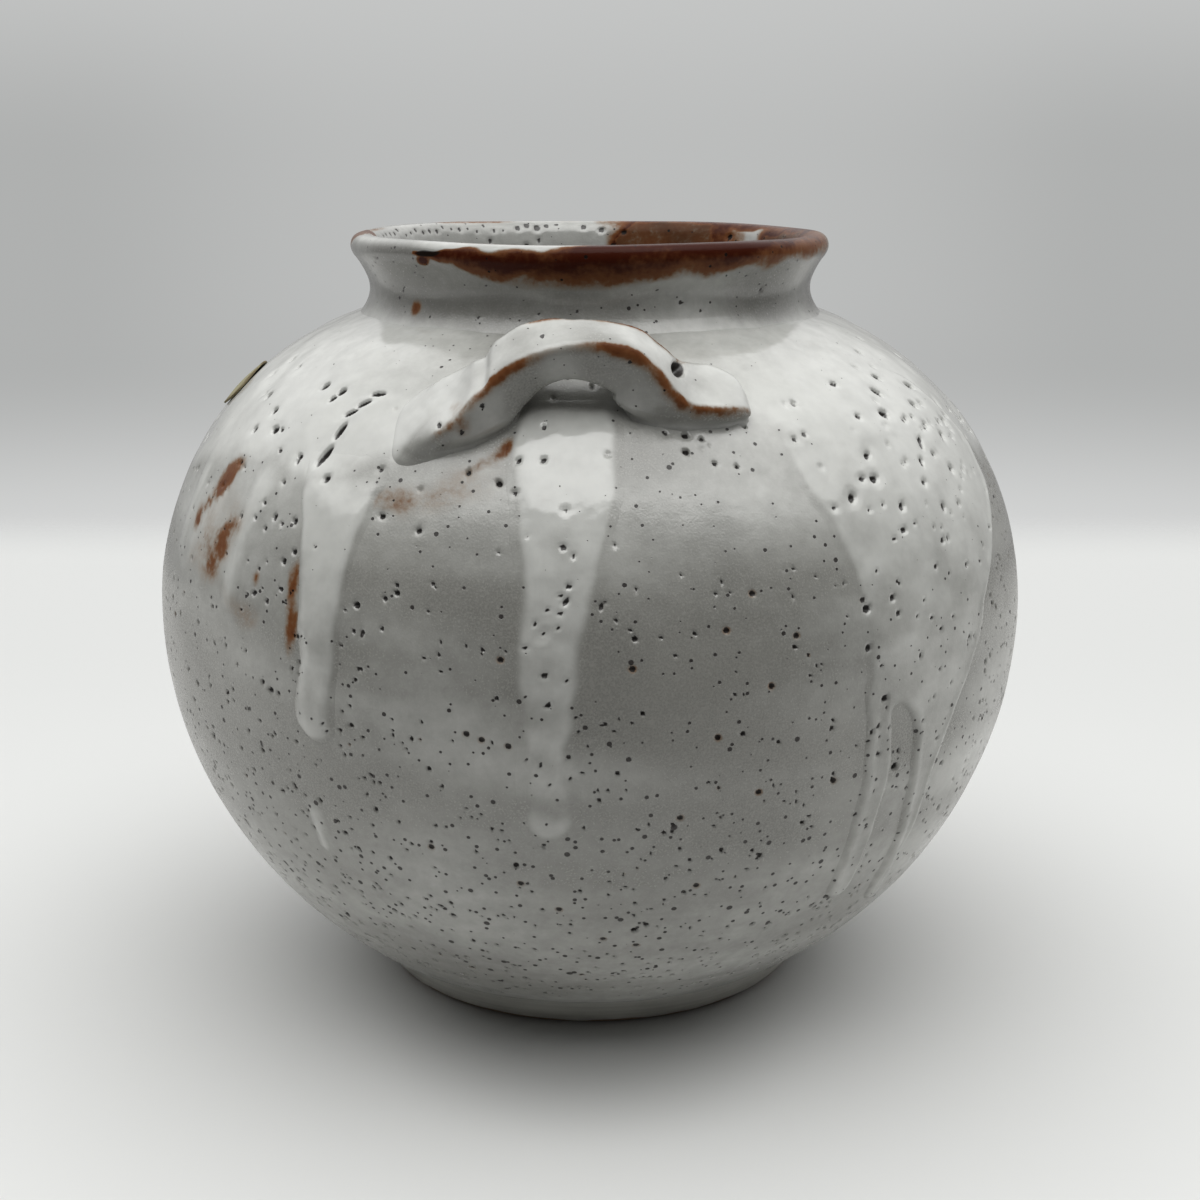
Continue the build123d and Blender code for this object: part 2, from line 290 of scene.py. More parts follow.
def glaze(azimuth, along):
    """Lift of the glaze off the bare wall, its pits left out, and its white and rust shares."""
    points = place(azimuth, along, 0)
    radius, height = np.hypot(points[:, 0], points[:, 1]), points[:, 2]
    degrees = np.degrees(azimuth)
    white = coat(azimuth, along)
    lumps = 0.090 * ripple(points, 11, 2) + 0.045 * ripple(points, 5, 7)
    lift = 0.22 + 0.08 * ripple(points, 34, 1) + 0.16 * white + lumps * (0.40 + 1.1 * white)
    for turn, middle, half, rise in craters:
        away = np.hypot(wrap(azimuth - math.radians(turn)) * radius, along - along_wall(middle)) / half
        away = away + 0.10 * ripple(points, 4, 9)
        lift += rise * (hump(away, 1.0, 0.22) - 0.9 * smooth(1.0, 0.4, away))
    lift += 0.025 * np.sin(height * 2 * math.pi / 2.6) * smooth(36, 16, height)
    level = points * (0.2, 0.2, 1)
    pour_shade_and_sheen = 0.21 + 0.09 * ripple(level, 8, 6) + 0.06 * ripple(points, 30, 8)
    pour_shade_and_sheen += 0.12 * smooth(62, 34, height) + 0.28 * smooth(20, 10, height)
    # Whiter and greyer patches, among them painted shade on the flanks and a painted sheen beside the right
    # sheet
    for turn, turn_half, middle, half, amount in tone_and_light_patches:
        pour_shade_and_sheen += amount * hump(degrees, turn, turn_half) * hump(height, middle, half)
    rust = np.zeros_like(height)
    for turn, top, tip, half, thickness in small_runs:
        across = wrap(azimuth - math.radians(turn) - 0.012 * ripple(points, 30, 4)) * radius
        width = half * (0.75 + 0.40 * smooth(tip, top, height))
        inside = width - np.hypot(across, np.maximum(tip + 0.75 * half - height, 0))
        share = rounded(inside, 0.8 * half, 0.6) * smooth(top + 6, top - 4, height)
        lift += thickness * share
        white = np.maximum(white, 0.8 * share)
    for turn, middle, half_width, half_height, slant, strength in stains:
        across = wrap(azimuth - math.radians(turn)) * radius
        slope = math.radians(slant)
        u = (across * math.cos(slope) + (height - middle) * math.sin(slope)) / half_width
        v = ((height - middle) * math.cos(slope) - across * math.sin(slope)) / half_height
        ragged = np.hypot(u, v) + 0.20 * ripple(points, 5, 5)
        rust = np.maximum(rust, strength * smooth(1.6, 0.1, ragged))
    white = np.clip(np.maximum(white, pour_shade_and_sheen), 0, 1) * (1 - 0.5 * rust)
    return np.minimum(lift, glaze_room - 0.02), white, rust


def relief(azimuth, along):
    """Lift of the glazed surface off the bare wall, pits and all, and its white, rust and dark shares."""
    lift, white, rust = glaze(azimuth, along)
    depth, dark, pit_rust = dents(azimuth, along)
    return lift - depth, white, np.maximum(rust, pit_rust * (1 - 0.7 * white)), dark


class Socket:
    """A shader socket that takes part in sums: an expression on sockets adds the Math nodes for it."""

    def __init__(self, tree, socket=None):
        self.tree = tree
        self.socket = socket

    def node(self, kind, settings, inputs, output=0):
        """Adds a node, sets it, gives its sockets values or links, and returns one of its outputs."""
        made = self.tree.nodes.new(kind)
        for name, value in settings.items():
            setattr(made, name, value)
        for name, value in inputs.items():
            if isinstance(value, Socket):
                self.tree.links.new(value.socket, made.inputs[name])
            else:
                made.inputs[name].default_value = value
        return Socket(self.tree, made.outputs[output])

    def sum(self, operation, *values):
        return self.node("ShaderNodeMath", {"operation": operation}, dict(enumerate(values)))

    def __add__(self, other):
        return self.sum("ADD", self, other)

    def __sub__(self, other):
        return self.sum("SUBTRACT", self, other)

    def __rsub__(self, other):
        return self.sum("SUBTRACT", other, self)

    def __mul__(self, other):
        return self.sum("MULTIPLY", self, other)

    __radd__ = __add__
    __rmul__ = __mul__

    def larger(self, other):
        return self.sum("MAXIMUM", self, other)

    def step(self, start, end):
        """0 to 1 in an even S as this value goes from start to end; start may be the larger."""
        ends = {"Value": self, "From Min": start, "From Max": end}
        return self.node("ShaderNodeMapRange", {"interpolation_type": "SMOOTHSTEP"}, ends)

    def mix(self, none, full):
        """Colour that goes from one to the other with this value; each may be a socket or three numbers."""
        colours = [c if isinstance(c, Socket) else (*c, 1) for c in (none, full)]
        return self.node("ShaderNodeMix", {"data_type": "RGBA"}, {0: self, 6: colours[0], 7: colours[1]}, 2)

    def feed(self, node, name):
        """Links this value to a node's socket of that name."""
        self.tree.links.new(self.socket, node.inputs[name])

    def share(self, name):
        """A share that the mesh carries at its points."""
        return self.node("ShaderNodeAttribute", {"attribute_name": name}, {}, "Fac")

    def spot(self):
        """The place on the object, in metres."""
        return self.node("ShaderNodeTexCoord", {}, {}, "Object")

    def part(self, axis):
        """This vector's part along an axis."""
        return self.node("ShaderNodeSeparateXYZ", {}, {0: self}, axis)

    def noise(self, size, detail=2.0, level=1.0):
        """Noise from 0 to 1 on the object, with swells of that size in millimetres, or flatter ones."""
        stretch = {0: self.spot(), 1: (level, level, 1)}
        flat = self.node("ShaderNodeVectorMath", {"operation": "MULTIPLY"}, stretch)
        inputs = {"Vector": flat, "Scale": 1 / (size * mm), "Detail": detail}
        return self.node("ShaderNodeTexNoise", {}, inputs)

    def dots(self, spacing, half, scale):
        """Round dots at random, about so far apart and up to so large in millimetres, times a share."""
        away = self.node("ShaderNodeTexVoronoi", {}, {"Vector": self.spot(), "Scale": 1 / (spacing * mm)})
        chance = Socket(self.tree, away.socket.node.outputs["Color"])
        inside = (chance * 0.6 + 0.4) * scale * (half / spacing) - away
        return inside.step(0.0, 0.15 * half / spacing)


def blank_finish(name):
    """A new material, its shader, and a socket that starts its sums."""
    material = bpy.data.materials.new(name)
    material.use_nodes = True
    return material, material.node_tree.nodes["Principled BSDF"], Socket(material.node_tree)


def bumped(height, depth):
    """Normal of a surface with that relief, as deep as that in millimetres."""
    inputs = {"Strength": 1.0, "Distance": depth * mm, "Height": height}
    return height.node("ShaderNodeBump", {}, inputs)


relief_depth = 0.09
rust_tan, rust_light, rust_dark = (0.26, 0.162, 0.090), (0.185, 0.070, 0.028), (0.056, 0.0105, 0.0045)
pit_brown = (0.014, 0.009, 0.007)


def glaze_finish(name, thin, thick, satin, gloss, pinhole, grainy=1.0):
    """Glaze that goes from thin, satin and grey to thick, glossy and white, breaking to rust over iron."""
    material, shader, s = blank_finish(name)
    shader.inputs["IOR"].default_value = 1.80
    cloud, blotch, fine, grain = s.noise(22, 3.0), s.noise(4, 3.0), s.noise(1.2, 2.0), s.noise(0.45, 1.0)
    bands = s.noise(5, 2.0, 0.12)
    white = s.share("white") + (blotch - 0.5) * 0.24 + (fine - 0.5) * 0.12 + (bands - 0.5) * 0.26
    white = white.step(-0.05, 1.0)
    rust = s.share("rust")
    rust = rust + ((blotch - 0.5) * 0.42 + (fine - 0.5) * 0.34) * rust.step(0.02, 0.3)
    film, middling, deep = rust.step(0.03, 0.42), rust.step(0.18, 0.50), rust.step(0.45, 0.88)
    level = s.spot().part("Z")
    pitted = (0.78 + level.step(0.105, 0.040) * 0.22) * (0.45 + white.step(0.85, 0.45) * 0.55)
    pinholes = s.dots(2.55, pinhole, pitted).larger(s.dots(4.1, 1.4 * pinhole, pitted))
    dark = s.share("dark").step(0.30, 0.62).larger(pinholes)
    satin_glaze = cloud.step(0.3, 0.7).mix([0.92 * c for c in thin], [1.08 * c for c in thin])
    rough_part = (1 - white) * level.step(0.02, 0.07)
    grains = grain.step(0.45, 0.80) * rough_part
    satin_glaze = grains.mix(satin_glaze, [1.22 * c for c in thin])
    mottled = (cloud * 0.6 + blotch * 0.4).step(0.34, 0.64).mix([0.87 * c for c in thick], thick)
    colour = white.mix(satin_glaze, mottled)
    dark.mix(colour, pit_brown).feed(shader, "Base Color")
    roughness = gloss + (1 - white) * (satin - gloss) + dark * 0.3 + (grain - 0.5) * rough_part * 0.16
    roughness.feed(shader, "Roughness")
    sparkle = rough_part * (0.06 + level.step(0.03, 0.09) * 0.44) * grainy + 0.02
    height = s.noise(4.5, 1.0) * 1.1 + s.noise(2.2, 1.0) * 0.25 + grain * sparkle - pinholes * 1.2
    bump = bumped(height, relief_depth)
    bump.feed(shader, "Normal")
    iron_colour = dark.mix(deep.mix(middling.mix(rust_tan, rust_light), rust_dark), pit_brown)
    inputs = {"Base Color": iron_colour, "Roughness": 0.20, "IOR": 1.18, "Normal": bump}
    iron = s.node("ShaderNodeBsdfPrincipled", {}, inputs)
    whole = s.node("ShaderNodeMixShader", {}, {0: film, 1: Socket(s.tree, shader.outputs[0]), 2: iron})
    whole.feed(s.tree.nodes["Material Output"], "Surface")
    return material


thin_grey, thick_white = (0.286, 0.283, 0.262), (0.735, 0.742, 0.712)
speckled_glaze = glaze_finish("speckled_glaze", thin_grey, thick_white, satin=0.28, gloss=0.11, pinhole=0.58)


def finished(name, mesh, points, material, slot, **shares):
    """A piece of the jar that stands for the node of its name, from a mesh and its points in millimetres."""
    mesh.vertices.foreach_set("co", (points * mm).astype(np.float32).ravel())
    for share, values in shares.items():
        carried = mesh.attributes.new(share, "FLOAT", "POINT")
        carried.data.foreach_set("value", np.ascontiguousarray(values, np.float32))
    mesh.polygons.foreach_set("use_smooth", np.ones(len(mesh.polygons), bool))
    mesh.update()
    piece = bpy.data.objects.new(name + "_glazed", mesh)
    bpy.context.scene.collection.objects.link(piece)
    mesh.materials.append(material)
    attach(piece, "root")
    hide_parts(name)


def hooped(net, rings):
    """Faces between each closed ring of points and the next."""
    for low, high in zip(rings, rings[1:]):
        for i in range(len(low)):
            j = (i + 1) % len(low)
            net.faces.new((low[i], low[j], high[j], high[i]))


def wall_grid(start, end):
    """Net of the wall on a plain cylinder: its height is the distance along the wall."""
    rows = np.linspace(start, end, round(abs(end - start) / row_step) + 1)
    turns = np.arange(columns) * 2 * math.pi / columns
    circle = belly_radius * np.stack([np.sin(turns), -np.cos(turns)], -1)
    net = bmesh.new()
    hooped(net, [[net.verts.new((x, y, row)) for x, y in circle] for row in rows])
    return net


def split_near_pits(net, rounds=2):
    """Splits the net's faces near the pits, so that each pit is drawn by several points."""
    for level in range(rounds):
        faces = list(net.faces)
        middles = np.array([face.calc_center_median() for face in faces])
        azimuth, along = np.arctan2(middles[:, 0], -middles[:, 1]), middles[:, 2]
        chosen = np.zeros(len(faces), bool)
        for turn, middle, long, *_ in pits:
            reach = 1.15 * long + (1.1 if level == 0 else 0.35)
            near = np.flatnonzero(np.abs(along - middle) < reach)
            across = wrap(azimuth[near] - turn) * wall(middle)[0]
            chosen[near] |= np.hypot(across, along[near] - middle) < reach
        edges = {edge for face, taken in zip(faces, chosen) if taken for edge in face.edges}
        bmesh.ops.subdivide_edges(net, edges=list(edges), cuts=1, use_grid_fill=True)


def border(net, height):
    """Edges on the rim of the net at that height."""
    return [e for e in net.edges if e.is_boundary and all(abs(v.co.z - height) < 0.01 for v in e.verts)]


def lined(net, edges, profile):
    """Carries a rim on along a profile; returns the new rings of points and the last ring's edges."""
    rings = []
    for _ in profile:
        made = bmesh.ops.extrude_edge_only(net, edges=edges)["geom"]
        edges = [g for g in made if isinstance(g, bmesh.types.BMEdge) and g.is_boundary]
        rings.append([g for g in made if isinstance(g, bmesh.types.BMVert)])
    return rings, edges


def arc_down(start, end, count):
    """Points of the inner wall's arc, upright at its start."""
    run, rise = start[0] - end[0], end[1] - start[1]
    radius = (run**2 + rise**2) / (2 * run)
    turns = np.linspace(0, math.asin(abs(rise) / radius), count)
    heights = start[1] + math.copysign(radius, rise) * np.sin(turns)
    return list(zip(start[0] - radius * (1 - np.cos(turns)), heights))


def point_normals(mesh):
    """The mesh's normals at its points."""
    normals = np.zeros(len(mesh.vertices) * 3, np.float32)
    mesh.vertex_normals.foreach_get("vector", normals)
    return normals.reshape(-1, 3).astype(float)


inner_white = 0.55
seam_step = 0.4


def bowl(name, net, linings):
    """A closed bowl from its outside's net and its linings' rings, with an even seam at the belly."""
    net.verts.index_update()
    points = np.array([v.co for v in net.verts])
    azimuth, along = np.arctan2(points[:, 0], -points[:, 1]), points[:, 2].copy()
    lined_with = {}
    for rings, profile in linings:
        for ring, spot in zip(rings, profile):
            lined_with.update((v.index, spot) for v in ring)
    outside = np.array([i not in lined_with for i in range(len(points))])
    shares = np.zeros((3, len(points)))
    shares[0] = inner_white
    lift, *outer_shares = relief(azimuth[outside], along[outside])
    points[outside] = place(azimuth[outside], along[outside], lift)
    shares[:, outside] = outer_shares
    white, rust, dark = shares
    for index, (radius, height) in lined_with.items():
        points[index] = radius * math.sin(azimuth[index]), -radius * math.cos(azimuth[index]), height
    mesh = bpy.data.meshes.new(name)
    bmesh.ops.triangulate(net, faces=net.faces)
    net.to_mesh(mesh)
    net.free()
    finished(name, mesh, points, speckled_glaze, "speckled_glaze", white=white, rust=rust, dark=dark)
    normals = point_normals(mesh)
    seam = np.flatnonzero(outside & (np.abs(along) < 0.01))
    steps = ((seam_step / belly_radius, 0), (-seam_step / belly_radius, 0), (0, seam_step), (0, -seam_step))
    beside = []
    for turned_by, raised_by in steps:
        turn, reach = azimuth[seam] + turned_by, along[seam] + raised_by
        beside.append(place(turn, reach, relief(turn, reach)[0]))
    across = np.cross(beside[0] - beside[1], beside[2] - beside[3])
    normals[seam] = across / np.linalg.norm(across, axis=1)[:, None]
    mesh.normals_split_custom_set_from_vertices(normals)


foot_end = -lower_bend * math.asin((belly_height - foot_height) / lower_bend)
lower_net = wall_grid(foot_end, 0)
split_near_pits(lower_net)
inner_radius = belly_radius - clay_wall
inside_profile = arc_down((inner_radius, belly_height), (floor_radius, floor_height), count=22)
inside_profile += [(40, floor_height - 0.6), (20, floor_height - 0.9), (1, floor_height - 1)]
under_profile = [(boss_radius, foot_height), (boss_radius, boss_height), (20, boss_height), (1, boss_height)]
inside_rings = lined(lower_net, border(lower_net, 0), inside_profile)[0]
under_rings = lined(lower_net, border(lower_net, foot_end), under_profile)[0]
for ring in (inside_rings[-1], under_rings[-1]):
    bmesh.ops.contextual_create(lower_net, geom=ring)
bowl("lower_bowl", lower_net, [(inside_rings, inside_profile), (under_rings, under_profile)])

# Upper bowl
# The jar's shoulder: a second bowl thrown upside down and luted to the first at the belly. The thick
# white coat was poured over it, ran off it in tongues and tore into pits and slits where it shrank.
neck_hole = 48.2
seat_end = upper_bend * math.asin((seat_height - belly_height) / upper_bend)
upper_net = wall_grid(0, seat_end)
split_near_pits(upper_net)
vault_foot, vault_top = (inner_radius, belly_height + 4), (neck_hole, seat_height - clay_wall)
vault_profile = [(inner_radius, belly_height)] + arc_down(vault_foot, vault_top, count=20)
vault_rings, vault_rim = lined(upper_net, border(upper_net, 0), vault_profile)
seat_profile = [(neck_hole, seat_height - 0.4)]
seat_rings, seat_rim = lined(upper_net, border(upper_net, seat_end), seat_profile)
bmesh.ops.bridge_loops(upper_net, edges=vault_rim + seat_rim)
bowl("upper_bowl", upper_net, [(vault_rings, vault_profile), (seat_rings, seat_profile)])

# Foot ring
# A low ring of clay turned to a bevel, glazed thin outside. Its standing face was wiped bare before
# firing, so that the jar didn't stick to the kiln shelf, and shows the brown stoneware.


def through(points, count):
    """A smooth curve through a few points, as count points on it."""
    points = np.asarray(points, float)
    slopes = np.gradient(points, axis=0)
    steps = np.linspace(0, len(points) - 1, count)
    first = np.minimum(steps.astype(int), len(points) - 2)
    t = (steps - first).reshape(-1, *[1] * (points.ndim - 1))
    return (
        (2 * t**3 - 3 * t**2 + 1) * points[first]
        + (t**3 - 2 * t**2 + t) * slopes[first]
        + (3 * t**2 - 2 * t**3) * points[first + 1]
        + (t**3 - t**2) * slopes[first + 1]
    )


def turned(name, profile, around):
    """Mesh of a closed profile turned about the jar's axis, with each point's turn and profile spot."""
    count = len(profile)
    turns = np.repeat(np.arange(around) * 2 * math.pi / around, count)
    spots = np.tile(np.arange(count), around)
    i, k = np.meshgrid(np.arange(around), np.arange(count), indexing="ij")
    j, m = (i + 1) % around, (k + 1) % count
    faces = np.stack([i * count + k, j * count + k, j * count + m, i * count + m], -1).reshape(-1, 4)
    mesh = bpy.data.meshes.new(name)
    mesh.from_pydata(np.zeros((around * count, 3)).tolist(), [], faces.tolist())
    return mesh, turns, spots


def about_axis(turns, radius, height):
    """Points at those turns, radii and heights."""
    return np.stack([radius * np.sin(turns), -radius * np.cos(turns), height], -1)


foot_bore = 39.5
standing_radius = 48.0
bevel = [
    (54.3, 8.95), (54.85, 8.45), (54.3, 7.4), (53.1, 5.4), (51.5, 3.1), (50.0, 1.2), (48.9, 0.3),
    (standing_radius, 0.0),
]
bare_ring = [
    (45.0, 0.0), (41.0, 0.0), (39.8, 0.3), (foot_bore, 1.2), (foot_bore, 4.5), (foot_bore, foot_height),
    (47.0, 7.6),
]
foot_profile = np.concatenate([through(bevel, count=22), bare_ring])
foot_mesh, foot_turns, foot_spots = turned("foot_ring", foot_profile, around=320)
foot_radii, foot_heights = foot_profile[foot_spots].T
foot_uneven = 0.10 * ripple(about_axis(foot_turns, foot_radii, foot_heights), 30, 21)
foot_radii = foot_radii + foot_uneven * smooth(0.2, 2.5, foot_heights) - 0.1
foot_points = about_axis(foot_turns, foot_radii, foot_heights)
wiped = smooth(1.3, 0.5, foot_heights + 0.25 * ripple(foot_points, 6, 22))
wiped = np.maximum(wiped, smooth(standing_radius + 1, standing_radius - 1, foot_radii))


def wiped_foot_finish():
    """Thin grey glaze, painted lighter than the body's as light bounced up from the floor, that ends in a
    dark brown line of painted shade above bare, sandy stoneware.
    """
    material, shader, s = blank_finish("bare_foot")
    shader.inputs["IOR"].default_value = 1.5
    bare, cloud, sand = s.share("bare").step(0.35, 0.65), s.noise(14, 3.0), s.noise(0.5, 2.0)
    lines = s.noise(1.1, 2.0, 0.05)
    # Painted light: the foot's thin glaze is lighter than the body's, standing in for light bounced up from
    # the floor
    bounce_lit_glaze = (cloud * 0.5 + lines * 0.5).step(0.3, 0.7).mix((0.37, 0.367, 0.339), (0.50, 0.496, 0.46))
    clay = sand.step(0.3, 0.7).mix((0.20, 0.125, 0.078), (0.34, 0.235, 0.155))
    # Painted shade: a dark brown line where the glaze meets the bare clay, along the foot's bottom edge
    foot_edge_shade = s.share("bare").step(0.1, 0.4) * (1 - bare)
    foot_edge_shade.mix(bare.mix(bounce_lit_glaze, clay), (0.16, 0.085, 0.05)).feed(shader, "Base Color")
    (0.36 + bare * 0.45 + sand * 0.08).feed(shader, "Roughness")
    bumped(sand * (0.35 + bare) + lines * (1 - bare), relief_depth).feed(shader, "Normal")
    return material


finished("foot_ring", foot_mesh, foot_points, wiped_foot_finish(), "bare_foot", bare=wiped)

# Neck collar
# A short flared neck with a rolled lip, thrown on the shoulder. The glaze drew off the lip's edge and
# broke to a band of rust brown there, and it crawled into dark pits down the inside.
flare = [
    (59.4, 149.9), (57.4, 151.1), (55.6, 152.15), (54.0, 153.2), (52.6, 154.5), (51.4, 156.1),
    (50.5, 158.0), (50.15, 159.9), (50.4, 161.9), (51.3, 164.0),
]
lip = [
    (52.6, 166.2), (53.8, 167.8), (54.3, 169.4), (53.9, 171.0), (52.8, 171.95), (51.2, 172.2),
    (49.7, 171.7),
]
throat = [
    (48.4, 170.4), (47.5, 168.4), (46.3, 165.0), (45.2, 161.6), (44.7, 158.5), (44.6, 154.0),
    (44.6, 150.4),
]
spigot = [
    (46.0, 150.2), (47.8, 150.6), (48.0, 152.4), (51.0, 152.3), (54.0, 151.4), (57.0, 150.2),
]
lip_radius, lip_height, highest, throat_radius = 50.0, 170.0, 172.4, 48.0
shoulder_top = 152.0
collar_profile = np.concatenate([through(flare + lip + throat, count=120), spigot])
collar_mesh, collar_turns, collar_spots = turned("neck_collar", collar_profile, around=480)
collar_radius, collar_height = collar_profile[collar_spots].T
crest_spot = int(np.argmax(collar_profile[:, 1]))
steps_along = np.hypot(*np.diff(collar_profile, axis=0).T)
run_along = np.concatenate([[0], np.cumsum(steps_along)])
from_crest = (run_along[crest_spot] - run_along)[collar_spots]
collar_points = about_axis(collar_turns, collar_radius, collar_height)
collar_degrees = np.degrees(wrap(collar_turns))
wobble = smooth(156, 168, collar_height)
collar_radius = collar_radius + 0.14 * ripple(collar_points, 26, 31) * wobble - 0.15 * wobble
lip_circle = about_axis(collar_turns, lip_radius, np.full_like(collar_turns, lip_height))
collar_height = np.minimum(collar_height + 0.20 * ripple(lip_circle, 34, 32) * wobble, highest)

# Rust band on the lip: azimuth, then its upper and lower edge below the crest, inside counted negative
band = [
    (-180, 1, 0), (-150, 0, 2.0), (-130, 1, 0), (-98, 1, 0), (-90, -3, 4.0), (-80, -2, 4.5),
    (-72, 1, 0), (-46, 3.8, 3.4), (-38, 3.4, 5.8), (-34, 3.4, 7.4), (-28, 3.4, 9.0), (-20, 3.4, 10.8),
    (-13, 3.0, 12.2), (-6, 2.0, 12.0), (1, -0.6, 11.2), (15, -3.4, 10.2), (30, -4, 8.8), (39, -4, 7.8),
    (58, -4, 7.0), (75, -4, 6.0), (95, -4, 4.8), (120, -3, 3.4), (150, -2, 2.4), (165, 1, 0),
    (180, 1, 0),
]
ragged_edge = 0.55 * ripple(collar_points, 7, 33) + 0.25 * ripple(collar_points, 2.5, 34)
band_turns, upper_edges, lower_edges = np.array(band, float).T
upper_edge = np.interp(collar_degrees, band_turns, upper_edges)
lower_edge = np.interp(collar_degrees, band_turns, lower_edges)
below = from_crest + ragged_edge
down_band = (below - upper_edge) / np.maximum(lower_edge - upper_edge, 1.0)
olive = hump(collar_degrees, -14, 12) * smooth(0.3, 0.7, down_band)
full = 0.98 - 0.32 * smooth(34, 62, np.abs(collar_degrees - 4)) - 0.45 * olive
full = full + 0.10 * ripple(collar_points, 9, 40)
band_parts, band_shares = [-0.05, 0.10, 0.35, 0.60, 0.85, 1.05], [0, 0.85, 1.0, 0.82, 0.48, 0]
collar_rust = full * np.interp(down_band, band_parts, band_shares)
collar_rust = np.where(lower_edge - upper_edge > 0.5, np.clip(collar_rust, 0, 1), 0)
# Rust down the inside of the throat at the back right, by azimuth; where it is fullest it also places the
# painted shade below
patch_turns = [84, 91, 96, 114, 117, 121, 131, 134, 139, 168, 171, 176]
patch_shares = [0.4, 0.7, 0.95, 0.95, 0.4, 0.05, 0.05, 0.45, 0.95, 0.95, 0.4, 0.0]
ragged_turn = collar_degrees + 2.2 * ripple(collar_points, 6, 38)
back_patch = np.interp(ragged_turn, patch_turns, patch_shares, left=0, right=0)
collar_rust = np.maximum(collar_rust, back_patch * smooth(-15, -8, below) * smooth(0.8, -1.6, below))
crest_line = 0.44 * hump(from_crest, -0.6, 0.9) * smooth(-0.4, 0.4, ripple(collar_points, 14, 39))
collar_rust = np.maximum(collar_rust, crest_line)
# One rust spot on the neck, and the burnt left end of the band with its drip
neck_spot = np.hypot((collar_degrees + 46.5) * 0.88, from_crest - 17.2) + 0.35 * ripple(collar_points, 3, 35)
collar_rust = np.maximum(collar_rust, 0.46 * smooth(2.8, 0.0, neck_spot))
burnt = np.hypot((collar_degrees + 38.5) * 0.95 / 4.4, (below - 4.0) / 1.2)
burnt_tail = np.hypot((collar_degrees + 40.0) * 0.95 / 2.0, (below - 6.0) / 1.6)
collar_rust = np.maximum(collar_rust, 0.85 * smooth(1.3, 0.4, burnt_tail))
collar_dark = 0.62 * smooth(1.2, 0.6, burnt)
# Painted shade down the inside of the throat: where the rust patch lies fullest it is darkened and its rust
# thinned
throat_shade = smooth(0.80, 0.97, back_patch) * smooth(-15, -8, below) * smooth(-0.5, -2.5, below)
collar_dark = np.maximum(collar_dark, throat_shade * (0.465 + 0.02 * ripple(collar_points, 5, 42)))
collar_rust = collar_rust * (1 - 0.55 * throat_shade)
# White share: kept low on the neck as painted shade under the lip, with streaks there, more on the lip and in
# the throat, the shoulder's own at the foot
collar_white = 0.12 + 0.12 * ripple(collar_points * (1, 1, 0.4), 12, 36)
collar_white = np.clip(collar_white + 0.40 * smooth(4.5, 1.5, np.abs(from_crest)), 0, 1)
collar_white = np.maximum(collar_white, 0.48 * smooth(0, -3, from_crest))
shoulder_white = coat(wrap(collar_turns), along_wall(np.minimum(collar_height, shoulder_top)))
at_shoulder = smooth(158.0, 152.5, collar_height) * smooth(6, 12, from_crest)
collar_white += at_shoulder * (shoulder_white - collar_white)
# Pits down the throat and on the neck: azimuth, distance below the crest, inside negative, half width
draw = np.random.default_rng(37)
throat_pits = list(zip(draw.uniform(-95, 175, 40), draw.uniform(-13, -2.5, 40), draw.uniform(0.5, 1.0, 40)))
throat_pits += [(turn, draw.uniform(-4.4, -2.2), draw.uniform(0.40, 0.75)) for turn in range(-153, -98, 3)]
throat_pits += [(turn, draw.uniform(-12, -5), draw.uniform(0.5, 1.0)) for turn in range(-172, -100, 4)]
throat_pits += [(-158, -3.4, 0.9), (-161, -2.6, 1.0), (-164, -3.4, 1.1), (-167, -2.8, 0.8), (-170, -2.4, 0.6)]
throat_pits += [(-178, -3.2, 0.9), (176.5, -4, 0.9)]
neck_pits = [
    (-25, 11.2, 0.45), (-16, 14.2, 0.35), (-12, 16.8, 0.4), (-3, 16.2, 0.35), (16, 12.0, 0.45),
    (22, 14.8, 0.6), (27, 16.6, 0.35), (39, 9.6, 0.5), (46, 13.0, 0.55), (-27, 18.0, 0.45),
    (-45, 9.0, 0.4), (-43, 10.2, 0.35), (-58, 6.0, 0.5), (-52, 13.0, 0.4),
]
for turn, depth, half in throat_pits + neck_pits:
    away = np.hypot(wrap(collar_turns - math.radians(turn)) * throat_radius, from_crest - depth) / half
    collar_dark = np.maximum(collar_dark, 0.9 * smooth(1.1, 0.5, away))
    collar_radius = collar_radius - math.copysign(0.5, depth) * half * smooth(1.4, 0.4, away)
# The collar's thin glaze is a darker copy of the body's grey: painted shade on the neck under the lip's
# overhang
shade_darkened_grey = [0.80 * c for c in thin_grey]
rim_glaze = glaze_finish("rim_glaze", shade_darkened_grey, thick_white, satin=0.24, gloss=0.11, pinhole=0.46)
collar_white = collar_white * (1 - 0.5 * collar_rust)
collar_points = about_axis(collar_turns, collar_radius, collar_height)
finished(
    "neck_collar", collar_mesh, collar_points, rim_glaze, "rim_glaze",
    white=collar_white, rust=collar_rust, dark=collar_dark,
)
